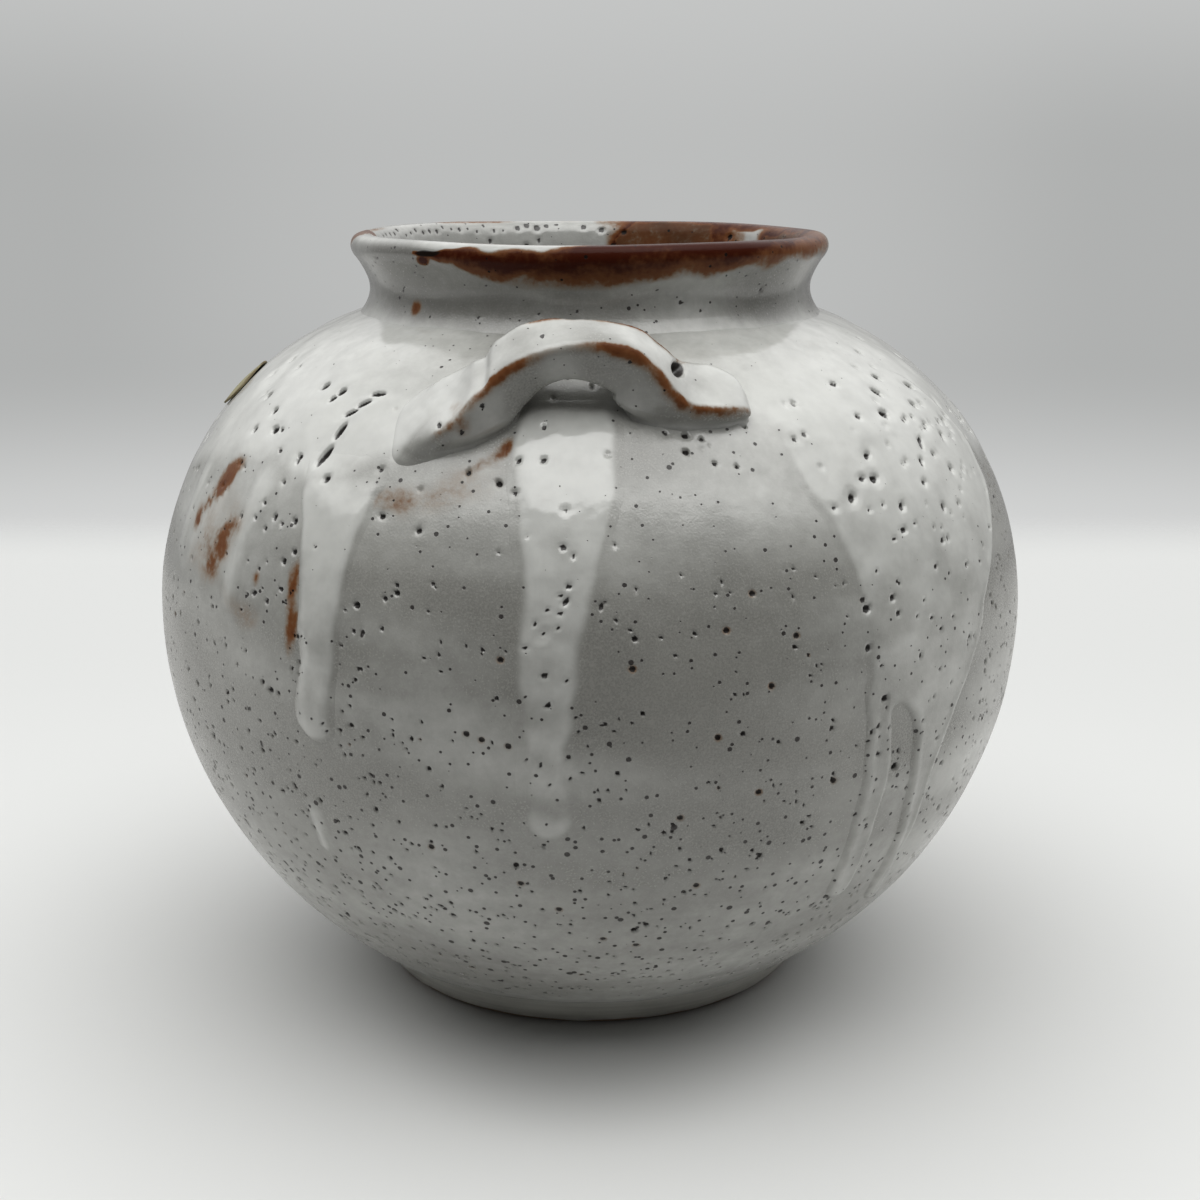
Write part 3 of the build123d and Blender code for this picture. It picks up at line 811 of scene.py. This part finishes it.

# Front and rear lugs
# A strap of soft clay bent to an arch on the shoulder, with both ends thumbed down flat. White glaze lies
# thick on its top and drew off its edges, where the iron in the clay shows as a rust line; its white share
# also carries painted light on the top and painted shade on the front.
# Stations along the strap: its front and back top edges, its thickness, and the rust on either edge
strap_stations = np.array(
    [
        (-39.0, -74.0, 132.2, -38.2, -65.6, 139.6, 4.0, 0.0, 0.0),
        (-35.8, -76.8, 134.0, -34.4, -65.2, 143.9, 4.4, 0.0, 0.0),
        (-31.2, -78.8, 137.2, -29.8, -64.0, 147.5, 5.6, 0.05, 0.0),
        (-26.6, -80.4, 140.5, -25.4, -66.2, 149.7, 7.2, 0.60, 0.0),
        (-22.8, -81.0, 144.6, -21.6, -70.2, 152.3, 9.6, 0.42, 0.0),
        (-18.9, -81.0, 148.4, -17.6, -71.5, 156.0, 10.4, 0.58, 0.0),
        (-13.2, -81.0, 152.2, -13.0, -71.5, 158.8, 9.4, 0.72, 0.2),
        (-7.5, -81.0, 154.6, -7.6, -71.5, 159.8, 8.2, 0.40, 0.45),
        (-1.9, -81.0, 155.5, -2.0, -71.5, 159.7, 8.2, 0.28, 0.15),
        (3.8, -81.0, 155.4, 4.0, -71.5, 159.2, 9.4, 0.70, 0.5),
        (9.4, -81.0, 153.6, 9.6, -71.5, 158.0, 11.2, 1.0, 0.85),
        (13.4, -80.8, 149.9, 14.3, -71.0, 154.6, 11.6, 1.05, 0.8),
        (16.4, -80.2, 146.1, 17.4, -69.4, 152.0, 10.0, 0.9, 0.3),
        (19.6, -79.0, 143.6, 20.6, -66.2, 150.8, 6.4, 0.65, 0.0),
        (24.2, -76.8, 142.7, 25.0, -64.2, 149.6, 4.4, 0.48, 0.0),
        (28.8, -74.4, 142.0, 28.8, -65.6, 147.4, 3.6, 0.50, 0.0),
        (31.4, -71.6, 140.6, 30.8, -68.0, 143.4, 2.6, 0.2, 0.0),
    ]
)
section_growth = 0.45
lug_voxel = 0.42
strap_rings, strap_corners = 90, 36
# The skin of the shoulder that the strap is fused with: its spans, its points, its top and its underside
skirt_span, skirt_heights = (-36, 34), (126, 151)
skirt_across, skirt_up = 60, 24
skirt_top, skirt_under = -0.16, -2.4
# One deep pinhole where the strap meets its right end, and smaller pits: x, z, half width, depth
lug_pits = [
    (17.2, 150.1, 1.4, 2.4), (4.1, 142.9, 0.9, 0.8), (-20.4, 142.7, 0.5, 0.5), (-9.1, 156.1, 0.4, 0.3),
    (-29.0, 139.0, 0.5, 0.4), (7.5, 151.0, 0.35, 0.3), (-24.5, 137.6, 0.45, 0.4),
]


def strap_sections(track):
    """Rounded sections of the strap, square to its track of front edge, back edge and thickness."""
    front, back, thickness = track[:, 0:3], track[:, 3:6], track[:, 6]
    onward = np.gradient((front + back) / 2, axis=0)
    outward = np.cross(onward, back - front)
    outward /= np.linalg.norm(outward, axis=1)[:, None]
    backward = (back - front) / np.linalg.norm(back - front, axis=1)[:, None]
    grown_front = front - section_growth * (backward - outward)
    grown_back = back + section_growth * (backward + outward)
    thickness = thickness + section_growth
    turns = np.arange(strap_corners) * 2 * math.pi / strap_corners
    squared = 1 / (np.abs(np.cos(turns)) ** 6 + np.abs(np.sin(turns)) ** 6) ** (1 / 6)
    u, v = (1 - np.cos(turns) * squared) / 2, (1 - np.sin(turns) * squared) / 2
    across = (grown_back - grown_front)[:, None, :] * u[None, :, None]
    down = outward[:, None, :] * (thickness[:, None] * v[None, :])[:, :, None]
    return grown_front[:, None, :] + across - down


def shoulder_skin(net):
    """Adds a closed slab of the shoulder's surface under the strap to the net."""
    skirt_turns = np.radians(np.linspace(*skirt_span, skirt_across))
    skirt_rows = along_wall(np.linspace(*skirt_heights, skirt_up))
    turns, rows = (g.ravel() for g in np.meshgrid(skirt_turns, skirt_rows))
    surface = glaze(turns, rows)[0]
    last_row, last = skirt_up - 1, skirt_across - 1
    sides = []
    for lift in (skirt_top, skirt_under):
        grid = place(turns, rows, surface + lift).reshape(skirt_up, skirt_across, 3)
        corners = [[net.verts.new(p) for p in row] for row in grid]
        for k in range(last_row):
            for i in range(last):
                quad = (corners[k][i], corners[k][i + 1], corners[k + 1][i + 1], corners[k + 1][i])
                net.faces.new(quad if lift == skirt_top else quad[::-1])
        sides.append(corners)
    top, under = sides
    rim = [(0, i) for i in range(last)] + [(k, last) for k in range(last_row)]
    rim += [(last_row, last - i) for i in range(last)] + [(last_row - k, 0) for k in range(last_row)]
    for (k, i), (m, j) in zip(rim, rim[1:] + rim[:1]):
        net.faces.new((top[m][j], top[k][i], under[k][i], under[m][j]))


def above_shoulder(points):
    """Height of points above the glazed shoulder, their azimuth, and the wall's lean and white share."""
    azimuth = np.arctan2(points[:, 0], -points[:, 1])
    inward = np.hypot(points[:, 0], points[:, 1]) - belly_radius + upper_bend
    upward = points[:, 2] - belly_height
    lean = np.arctan2(upward, inward)
    lift, white, _ = glaze(azimuth, lean * upper_bend)
    return np.hypot(inward, upward) - upper_bend + glaze_room - lift, azimuth, lean, white


def drawn_together(mesh, points, weight, rounds):
    """Points drawn that many times towards their neighbours on the mesh, each by its weight."""
    ends = np.zeros(len(mesh.edges) * 2, np.int32)
    mesh.edges.foreach_get("vertices", ends)
    first, second = ends.reshape(-1, 2).T
    count = len(points)
    neighbours = np.bincount(ends, minlength=count)
    for _ in range(rounds):
        sums = [
            np.bincount(first, points[second, axis], count) + np.bincount(second, points[first, axis], count)
            for axis in range(3)
        ]
        points = points + weight[:, None] * (np.stack(sums, -1) / neighbours[:, None] - points)
    return points


def fused_strap(name, track):
    """Mesh of the strap along its track, fused with the skin of the shoulder and softened all over."""
    net = bmesh.new()
    rings = [[net.verts.new(p) for p in ring] for ring in strap_sections(track)]
    hooped(net, rings)
    net.faces.new(rings[0][::-1])
    net.faces.new(rings[-1])
    shoulder_skin(net)
    bmesh.ops.recalc_face_normals(net, faces=net.faces)
    rough = bpy.data.meshes.new(name)
    net.to_mesh(rough)
    net.free()
    form = bpy.data.objects.new(name, rough)
    bpy.context.scene.collection.objects.link(form)
    fuse = form.modifiers.new("fuse", "REMESH")
    fuse.mode = "VOXEL"
    fuse.voxel_size = lug_voxel
    soften = form.modifiers.new("soften", "SMOOTH")
    soften.factor = 0.5
    soften.iterations = 5
    mesh = bpy.data.meshes.new_from_object(form.evaluated_get(bpy.context.evaluated_depsgraph_get()))
    bpy.data.objects.remove(form)
    return mesh


def edge_rust(points, normals, track, seed):
    """Rust along the strap's two edges, where the glaze drew off them, and a blotch on its left foot."""
    rust = np.zeros(len(points))
    ragged = 0.5 * ripple(points, 4, seed + 2) + 0.3 * ripple(points, 1.6, seed + 3)
    on_top = 1 + 0.9 * smooth(0.35, 0.75, normals[:, 2])
    broken = np.clip(0.9 + 0.25 * ripple(points, 9, seed + 5), 0.4, 1.15)
    lines = ((track[:, 0:3], track[:, 7], 1.0, on_top), (track[:, 3:6], track[:, 8], 0.6, 1.0))
    for line, strength, width, spread in lines:
        away = np.linalg.norm(points[:, None, :] - line[None, :, :], axis=2)
        apart = away.min(axis=1) * spread + ragged * 0.5
        fading = np.interp(apart, [0.7, 1.2, width + 0.9, width + 2.4], [0.88, 0.60, 0.30, 0])
        rust = np.maximum(rust, strength[away.argmin(axis=1)] * broken * fading)
    blotch = np.hypot((points[:, 0] + 24.4) / 2.6, (points[:, 2] - 141.0) / 3.0) + 0.3 * ragged
    return np.maximum(rust, 0.29 * smooth(1.5, 0.3, blotch) * smooth(0.1, -0.3, normals[:, 1]))


def strap_lug(name, seed, turn):
    """A lug settled on the shoulder, with its creases, pits, rust and white, turned about the jar's axis."""
    track = through(strap_stations, strap_rings)
    mesh = fused_strap(name, track)
    points = np.zeros(len(mesh.vertices) * 3, np.float32)
    mesh.vertices.foreach_get("co", points)
    points = points.reshape(-1, 3).astype(float)
    # The joint with the shoulder and the flat left end are drawn smooth
    proud = above_shoulder(points)[0]
    seated = smooth(4.0, 1.0, proud) * smooth(-1.2, -0.6, proud)
    points = drawn_together(mesh, points, 0.5 * seated, rounds=30)
    left_end = smooth(-27, -34, points[:, 0]) * smooth(-1.2, -0.6, proud)
    points = drawn_together(mesh, points, 0.5 * left_end, rounds=60)
    mesh.vertices.foreach_set("co", points.astype(np.float32).ravel())
    mesh.update()
    normals = point_normals(mesh)
    uneven = 0.12 * ripple(points, 7, seed) + 0.05 * ripple(points, 2.5, seed + 1)
    points = points + normals * (uneven * smooth(0.3, 2.0, proud))[:, None]
    crease = hump(points[:, 0], -20.6, 1.2) * smooth(0.15, 0.6, normals[:, 2])
    points = points - normals * (0.8 * crease)[:, None]
    rust = edge_rust(points, normals, track, seed)
    # White share: higher on faces turned up, partly the glaze lying thick there and partly painted light on
    # the tops and painted shade on the fronts; the pads are whiter, the left one more as a painted highlight
    top_facing = smooth(0.05, 0.55, normals[:, 2])
    pad_white_and_highlight = smooth(20, 27, np.abs(points[:, 0] + 2)) * top_facing * (1 - 0.5 * smooth(0, 10, points[:, 0]))
    white = np.clip(0.14 + 0.42 * top_facing + 0.45 * pad_white_and_highlight + 0.16 * ripple(points, 7, seed + 4), 0, 1)
    dark = np.zeros(len(points))
    for x, z, half, depth in lug_pits:
        across, up = points[:, 0] - x, (points[:, 2] - z) * 0.85 + 0.12 * (points[:, 1] + 72)
        away = np.hypot(across, up) / half + 2 * smooth(-0.1, -0.4, -normals[:, 1])
        points = points - normals * (depth * smooth(1.25, 0.35, away))[:, None]
        dark = np.maximum(dark, smooth(1.2, 0.7, away))
    # What lies level with the shoulder takes its white and sinks under it
    proud, azimuth, lean, shoulder_white = above_shoulder(points)
    joined = np.maximum(smooth(2.4, 0.4, proud), smooth(-27, -34, points[:, 0]))
    white = white + joined * (shoulder_white - white)
    sink = 0.2 * smooth(0.3, 0.0, proud) + 1.4 * smooth(0.0, -0.14, proud)
    points = points - about_axis(azimuth, np.cos(lean) * sink, np.sin(lean) * sink)
    swing = np.array([[math.cos(turn), -math.sin(turn), 0], [math.sin(turn), math.cos(turn), 0], [0, 0, 1]])
    finished(name, mesh, points @ swing.T, lug_glaze, "lug_glaze", white=white, rust=rust, dark=dark)


lug_glaze = glaze_finish(
    "lug_glaze", thin_grey, thick_white, satin=0.28, gloss=0.08, pinhole=0.42, grainy=0.45
)
strap_lug("front_lug", seed=41, turn=0.0)
strap_lug("rear_lug", seed=51, turn=math.pi)

# Glaze runs
# The thickest glaze, which ran off the shoulder while it was molten: a tongue on the left, one under
# the lug, and a wide sheet on the right that parted in two tails. They stand proud, round and glossy.
run_glaze = glaze_finish("run_glaze", thin_grey, thick_white, satin=0.28, gloss=0.09, pinhole=0.54)
run_step = 0.55
under_edge = 0.22
under_run = 0.5
split_level, gap_top = 66.0, 84.0
left_tip, centre_tip, inner_tip, outer_tip, below_tips = 77.6, 59.9, 38.6, 33.0, 20.0
# Borders of the runs: height, left and right azimuth
left_edges = [
    (134, -42, -25), (126, -40, -27.5), (120, -38.4, -28.4), (112, -36.6, -29.0), (104, -35.6, -29.4),
    (94, -35.2, -29.6), (82, -35.2, -30.1),
]
centre_edges = [
    (146, -12.4, 5.6), (137, -11.4, 5.0), (128, -10.4, 4.2), (119, -9.6, 2.7), (110, -9.1, 1.3),
    (100, -8.7, 0.1), (91, -8.4, -0.5), (80, -8.1, -0.8), (71, -8.1, -0.9), (64, -8.3, -1.0),
]
sheet_edges = [
    (150, 21, 60), (143, 22.4, 66), (136, 24.6, 70), (129, 26.8, 71), (121, 29.2, 69), (112, 31.2, 64),
    (99.5, 32.4, 57), (92, 32.8, 55), (86, 33.0, 52.6), (80, 33.4, 50.2), (75, 33.6, 48.6),
    (66, 33.4, 47.4), (40, 33.6, 47.5),
]
# The gap between the two tails, upside down: its round end is the split at the top
gap_edges = [
    (-60, 37.6, 43.0), (-66, 37.9, 42.4), (-72, 37.7, 41.6), (-77, 37.3, 41.2), (-81, 37.1, 40.6),
    (-84, 37.0, 39.6),
]
inner_tail_edges = [
    (75, 33.6, 37.5), (66, 33.4, 37.9), (58, 33.2, 37.4), (48, 33.6, 38.4), (41, 33.8, 38.2),
]
outer_tail_edges = [
    (75, 41.4, 48.6), (66, 42.4, 47.4), (54, 43.4, 47.5), (46, 44.0, 46.6), (40, 44.4, 47.6),
    (34, 45.4, 48.8),
]


def between(azimuth, height, radius, edges, tip):
    """Distance inside a tongue's border, with a round tip; edges give height, left and right azimuth."""
    levels, lefts, rights = np.array(edges[::-1], float).T
    level = np.maximum(height, tip)
    left, right = (np.interp(level, levels, np.radians(side)) for side in (lefts, rights))
    half = (right - left) / 2 * radius
    across = (azimuth - (left + right) / 2) * radius
    return half - np.hypot(across, np.maximum(tip + half - height, 0))


def left_run(azimuth, height, radius):
    """Distance inside the left run, how soft its edge is, its thickness and how white it is."""
    soft = smooth(-34, -31, np.degrees(azimuth)) * 0.6 + 0.3
    tone = np.interp(height, [78, 84, 100, 120], [0.75, 0.62, 0.75, 0.95])
    thickness = 0.75 + 0.25 * hump(height, 82, 5)
    return between(azimuth, height, radius, left_edges, left_tip), soft, thickness, tone


def centre_run(azimuth, height, radius):
    """The same for the run under the lug, which sank into the glaze around it."""
    tone = np.interp(height, [60, 65, 70, 90, 105, 125], [0.78, 0.68, 0.52, 0.50, 0.64, 0.95])
    tone = tone + 0.07 * np.sin(height * 2 * math.pi / 9) * smooth(110, 90, height)
    bubble = np.hypot((azimuth - math.radians(-4.9)) * radius, height - 103.4) / 2.1
    thickness = 0.55 + 0.3 * hump(height, 64, 4)
    thickness = thickness + 0.10 * hump(bubble, 1.0, 0.25) - 0.08 * smooth(1, 0.4, bubble)
    return between(azimuth, height, radius, centre_edges, centre_tip), 0.95, thickness, tone


def right_sheet(azimuth, height, radius):
    """The same for the sheet on the right, with its split and its two tails."""
    whole = between(azimuth, height, radius, sheet_edges, below_tips)
    gap = between(azimuth, -height, radius, gap_edges, -gap_top)
    inner = between(azimuth, height, radius, inner_tail_edges, inner_tip)
    outer = between(azimuth, height, radius, outer_tail_edges, outer_tip)
    inside = np.where(height > split_level, np.minimum(whole, -gap), np.maximum(inner, outer))
    degrees = np.degrees(azimuth)
    soft = 0.95 * smooth(44, 38, degrees) * smooth(84, 92, height) + 0.2 * smooth(36, 34.5, degrees)
    bead = hump(inside, 1.3, 1.0) * (smooth(44, 50, degrees) + smooth(88, 78, height))
    tone = np.interp(height, [38, 60, 80, 100, 115, 130], [0.60, 0.48, 0.42, 0.50, 0.74, 0.95])
    shallow = 0.62 - 0.26 * smooth(40, 33, degrees) * smooth(82, 92, height)
    inside = inside * (1 - 0.5 * smooth(44, 38, degrees) * smooth(84, 92, height))
    return inside, soft, shallow + 0.30 * np.clip(bead, 0, 1), tone


def glaze_run(name, shape, span, heights, fade, edge, seed):
    """A closed lens of glaze lying on the wall: its border dips under the surface around it."""
    turns, reach = np.radians(span), along_wall(np.array(heights, float))
    across = round((turns[1] - turns[0]) * belly_radius / run_step)
    upward = round((reach[1] - reach[0]) / run_step)
    grid = np.meshgrid(np.linspace(*turns, across), np.linspace(*reach, upward))
    azimuth, along = (g.ravel() for g in grid)
    bare = place(azimuth, along, 0)
    radius, height = np.hypot(bare[:, 0], bare[:, 1]), bare[:, 2]
    wander = 0.004 * ripple(bare, 22, seed) + 0.003 * ripple(bare, 7, seed + 1)
    inside, soft, thickness, tone = shape(azimuth + wander, height, radius)
    share = rounded(inside, edge, soft) * smooth(heights[1] - 2, heights[1] - fade, height)
    thickness = thickness + 0.07 * ripple(bare, 11, seed + 2)
    depth = np.where(inside > 0, share * thickness - 0.02, inside * 0.5)
    depth = depth - 0.25 * smooth(heights[1] - 4, heights[1] - 1, height)
    lift, white, rust, dark = relief(azimuth, along)
    i, k = np.meshgrid(np.arange(across - 1), np.arange(upward - 1))
    first = (k * across + i).ravel()
    quads = np.stack([first, first + 1, first + across + 1, first + across], -1)
    quads = quads[(depth[quads] > -under_edge).any(axis=1)]
    used, compact = np.unique(quads, return_inverse=True)
    quads = compact.reshape(-1, 4)
    count = len(used)
    # An edge that only one face has lies on the border, where the top joins the underside
    edges = np.concatenate([quads[:, [a, (a + 1) % 4]] for a in range(4)])
    single = set(map(tuple, edges.tolist()))
    rim = np.array([e for e in single if e[::-1] not in single])
    sides = np.stack([rim[:, 1], rim[:, 0], rim[:, 0] + count, rim[:, 1] + count], -1)
    faces = np.concatenate([quads, quads[:, ::-1] + count, sides])
    top = place(azimuth[used], along[used], lift[used] + np.maximum(depth[used], -under_edge))
    under = place(azimuth[used], along[used], lift[used] - under_run)
    mesh = bpy.data.meshes.new(name)
    mesh.from_pydata(np.zeros((2 * count, 3)).tolist(), [], faces.tolist())
    tone = (np.clip(tone, 0, 1) + 0.08 * ripple(bare, 6, seed + 3)) * smooth(0.0, 0.9, share)
    shares = {"white": np.maximum(white, tone), "rust": rust * smooth(0.5, 0.0, share), "dark": dark}
    shares = {kind: np.tile(values[used], 2) for kind, values in shares.items()}
    finished(name, mesh, np.concatenate([top, under]), run_glaze, "run_glaze", **shares)


glaze_run("glaze_run_left", left_run, (-44, -22), (75, 136), fade=14, edge=3.0, seed=61)
glaze_run("glaze_run_centre", centre_run, (-15, 9), (57, 147), fade=8, edge=4.9, seed=64)
glaze_run("glaze_sheet_right", right_sheet, (18, 74), (30, 149), fade=24, edge=2.6, seed=67)

# Blank label
# A small plain oval of thick olive paper, pasted on the left shoulder after the firing. It has come up
# a little along its rim, which is worn browner.
label_turn, label_reach = math.radians(-90), 80.0
label_half_length, label_half_height = 14.6, 6.2
paper_thickness, fibre_depth = 0.42, 0.05
label_middle = upper_bend * math.acos((label_reach - (belly_radius - upper_bend)) / upper_bend)
rings, spokes = 16, 96
share = np.repeat(np.linspace(0, 1, rings)[1:], spokes)
angle = np.tile(np.arange(spokes) * 2 * math.pi / spokes, rings - 1)
oval_across = np.append(share * np.cos(angle), 0) * label_half_length
oval_up = np.append(share * np.sin(angle), 0) * label_half_height
rim_share = np.append(share, 0)
label_turns, label_along = label_turn + oval_across / label_reach, label_middle + oval_up
label_bed = 0.62 + 0.05 * ripple(place(label_turns, label_along, 0), 8, 71)
label_lift = label_bed + paper_thickness + 0.35 * (1 - rim_share**2) + 0.18 * rim_share**6
label_top = place(label_turns, label_along, label_lift)
label_under = place(label_turns, label_along, label_lift - paper_thickness)
label_points = np.concatenate([label_top, label_under])
count = len(label_turns)
middle = count - 1
label_faces = []
for k in range(rings - 2):
    inner, outer = k * spokes, (k + 1) * spokes
    for i in range(spokes):
        j = (i + 1) % spokes
        label_faces.append((inner + i, outer + i, outer + j, inner + j))
label_faces += [(middle, i, (i + 1) % spokes) for i in range(spokes)]
label_faces += [tuple(v + count for v in face[::-1]) for face in label_faces]
last = (rings - 2) * spokes
for i in range(spokes):
    j = (i + 1) % spokes
    label_faces.append((last + i, last + i + count, last + j + count, last + j))
label_mesh = bpy.data.meshes.new("blank_label")
label_mesh.from_pydata(np.zeros((2 * count, 3)).tolist(), [], label_faces)


def label_paper_finish():
    """Matt olive paper with faint fibres, browner along its rim."""
    material, shader, s = blank_finish("label_paper")
    shader.inputs["Specular IOR Level"].default_value = 0.25
    fibre, cloud = s.noise(0.6, 4.0), s.noise(7, 2.0)
    paper = fibre.step(0.3, 0.7).mix((0.30, 0.275, 0.165), (0.39, 0.365, 0.23))
    worn = (s.share("rim") + (cloud - 0.5) * 0.5).step(0.75, 1.05)
    worn.mix(paper, (0.17, 0.135, 0.075)).feed(shader, "Base Color")
    (0.72 + fibre * 0.2).feed(shader, "Roughness")
    bumped(fibre, fibre_depth).feed(shader, "Normal")
    return material


rim_shares = np.tile(rim_share, 2)
finished("blank_label", label_mesh, label_points, label_paper_finish(), "label_paper", rim=rim_shares)

# Studio
# A pale floor that fades into the backdrop, a bright ceiling and a dim room in front of the jar.
floor_reach, fade_from, fade_to = 1.2, 0.41, 0.53
foot_shadow_middle = (0, -0.055, 0)
floor_mesh = bpy.data.meshes.new("floor")
floor_net = bmesh.new()
bmesh.ops.create_circle(floor_net, cap_ends=True, segments=96, radius=floor_reach)
floor_net.to_mesh(floor_mesh)
floor_net.free()
floor = bpy.data.objects.new("floor", floor_mesh)
bpy.context.scene.collection.objects.link(floor)


def floor_finish():
    """Pale matt floor, dimmer towards the room in front where only the jar sees it, fading out far off; what
    the camera sees is painted darker towards the back, with painted shade around the jar and a painted shadow
    in front of its foot.
    """
    material, shader, s = blank_finish("pale_floor")
    shader.inputs["Roughness"].default_value = 0.9
    shader.inputs["Specular IOR Level"].default_value = 0.1
    spot = s.spot()
    depth = spot.part("Y")
    seen = s.node("ShaderNodeLightPath", {}, {}, "Is Camera Ray")
    lit = depth.step(-0.36, -0.08).mix((0.10, 0.10, 0.10), (0.64, 0.64, 0.63))
    # What the camera sees is painted: lighter in front and darker towards the back, with painted shade around
    # the jar and a painted shadow in front of its foot
    shown = depth.step(-0.35, 0.30).mix((0.81, 0.815, 0.81), (0.65, 0.657, 0.653))
    reach = s.node("ShaderNodeVectorMath", {"operation": "LENGTH"}, {0: spot}, "Value")
    shown = reach.step(0.05, 0.22).mix((0.655, 0.66, 0.655), shown)
    ends = {0: spot, 1: foot_shadow_middle}
    foot_shadow_reach = s.node("ShaderNodeVectorMath", {"operation": "DISTANCE"}, ends, "Value")
    shown = foot_shadow_reach.step(0.012, 0.052).mix((0.45, 0.454, 0.45), shown)
    seen.mix(lit, shown).feed(shader, "Base Color")
    clear = s.node("ShaderNodeBsdfTransparent", {}, {})
    laid = Socket(s.tree, shader.outputs[0])
    whole = s.node("ShaderNodeMixShader", {}, {0: depth.step(fade_from, fade_to), 1: laid, 2: clear})
    whole.feed(s.tree.nodes["Material Output"], "Surface")
    return material


floor_mesh.materials.append(floor_finish())

world = bpy.data.worlds.new("studio")
bpy.context.scene.world = world
world.use_nodes = True
s = Socket(world.node_tree)
way = s.node("ShaderNodeTexCoord", {}, {}, "Generated")
sideways, onward, upward = way.part("X"), way.part("Y"), way.part("Z")
seen = s.node("ShaderNodeLightPath", {}, {}, "Is Camera Ray")
spread = sideways * sideways * 1.46 + onward * onward * 2.6
ceiling = spread.step(1.10, 0.94) * upward.step(0.0, 0.1)
middle_light = onward.step(-0.02, 0.35).mix((2.56, 2.56, 2.52), (1.15, 1.15, 1.134))
ceiling_light = (sideways * sideways).step(0.04, 0.55).mix(middle_light, (1.27, 1.27, 1.25))
back = upward.step(0.05, 0.60).mix((0.33, 0.33, 0.33), (1.2, 1.2, 1.2))
front = upward.step(0.25, 0.75).mix((0.05, 0.05, 0.05), (0.20, 0.20, 0.197))
room = onward.step(-0.15, 0.60).mix(front, back)
light = ceiling.mix(room, ceiling_light)
# Seen by the camera, the backdrop is graded darker around the horizon and carries a painted pool of light in
# its middle
wall_foot = upward.step(-0.115, -0.215).mix((0.430, 0.437, 0.433), (0.66, 0.667, 0.663))
backdrop = upward.step(-0.02, 0.09).mix(wall_foot, (0.55, 0.557, 0.553))
glow = (sideways * sideways).step(0.07, 0.0) * upward.step(-0.20, -0.08) * 0.5
backdrop = glow.mix(backdrop, (0.57, 0.577, 0.573))
seen.mix(light, backdrop).feed(world.node_tree.nodes["Background"], "Color")

camera_data = bpy.data.cameras.new("camera")
camera = bpy.data.objects.new("camera", camera_data)
bpy.context.scene.collection.objects.link(camera)
bpy.context.scene.camera = camera
focal_pixels, image_pixels, axis_pixel = 1900.0, 1200.0, 590.0
camera_height, camera_distance, camera_pitch = 0.1963, 0.4399, 14.12
camera_data.sensor_width = 36.0
camera_data.lens = camera_data.sensor_width * focal_pixels / image_pixels
camera_data.shift_x = (image_pixels / 2 - axis_pixel) / image_pixels
camera_data.clip_start = 0.01
camera.location = (0, -camera_distance, camera_height)
camera.rotation_euler = (math.radians(90 - camera_pitch), 0, 0)
bpy.context.scene.view_settings.view_transform = "Standard"
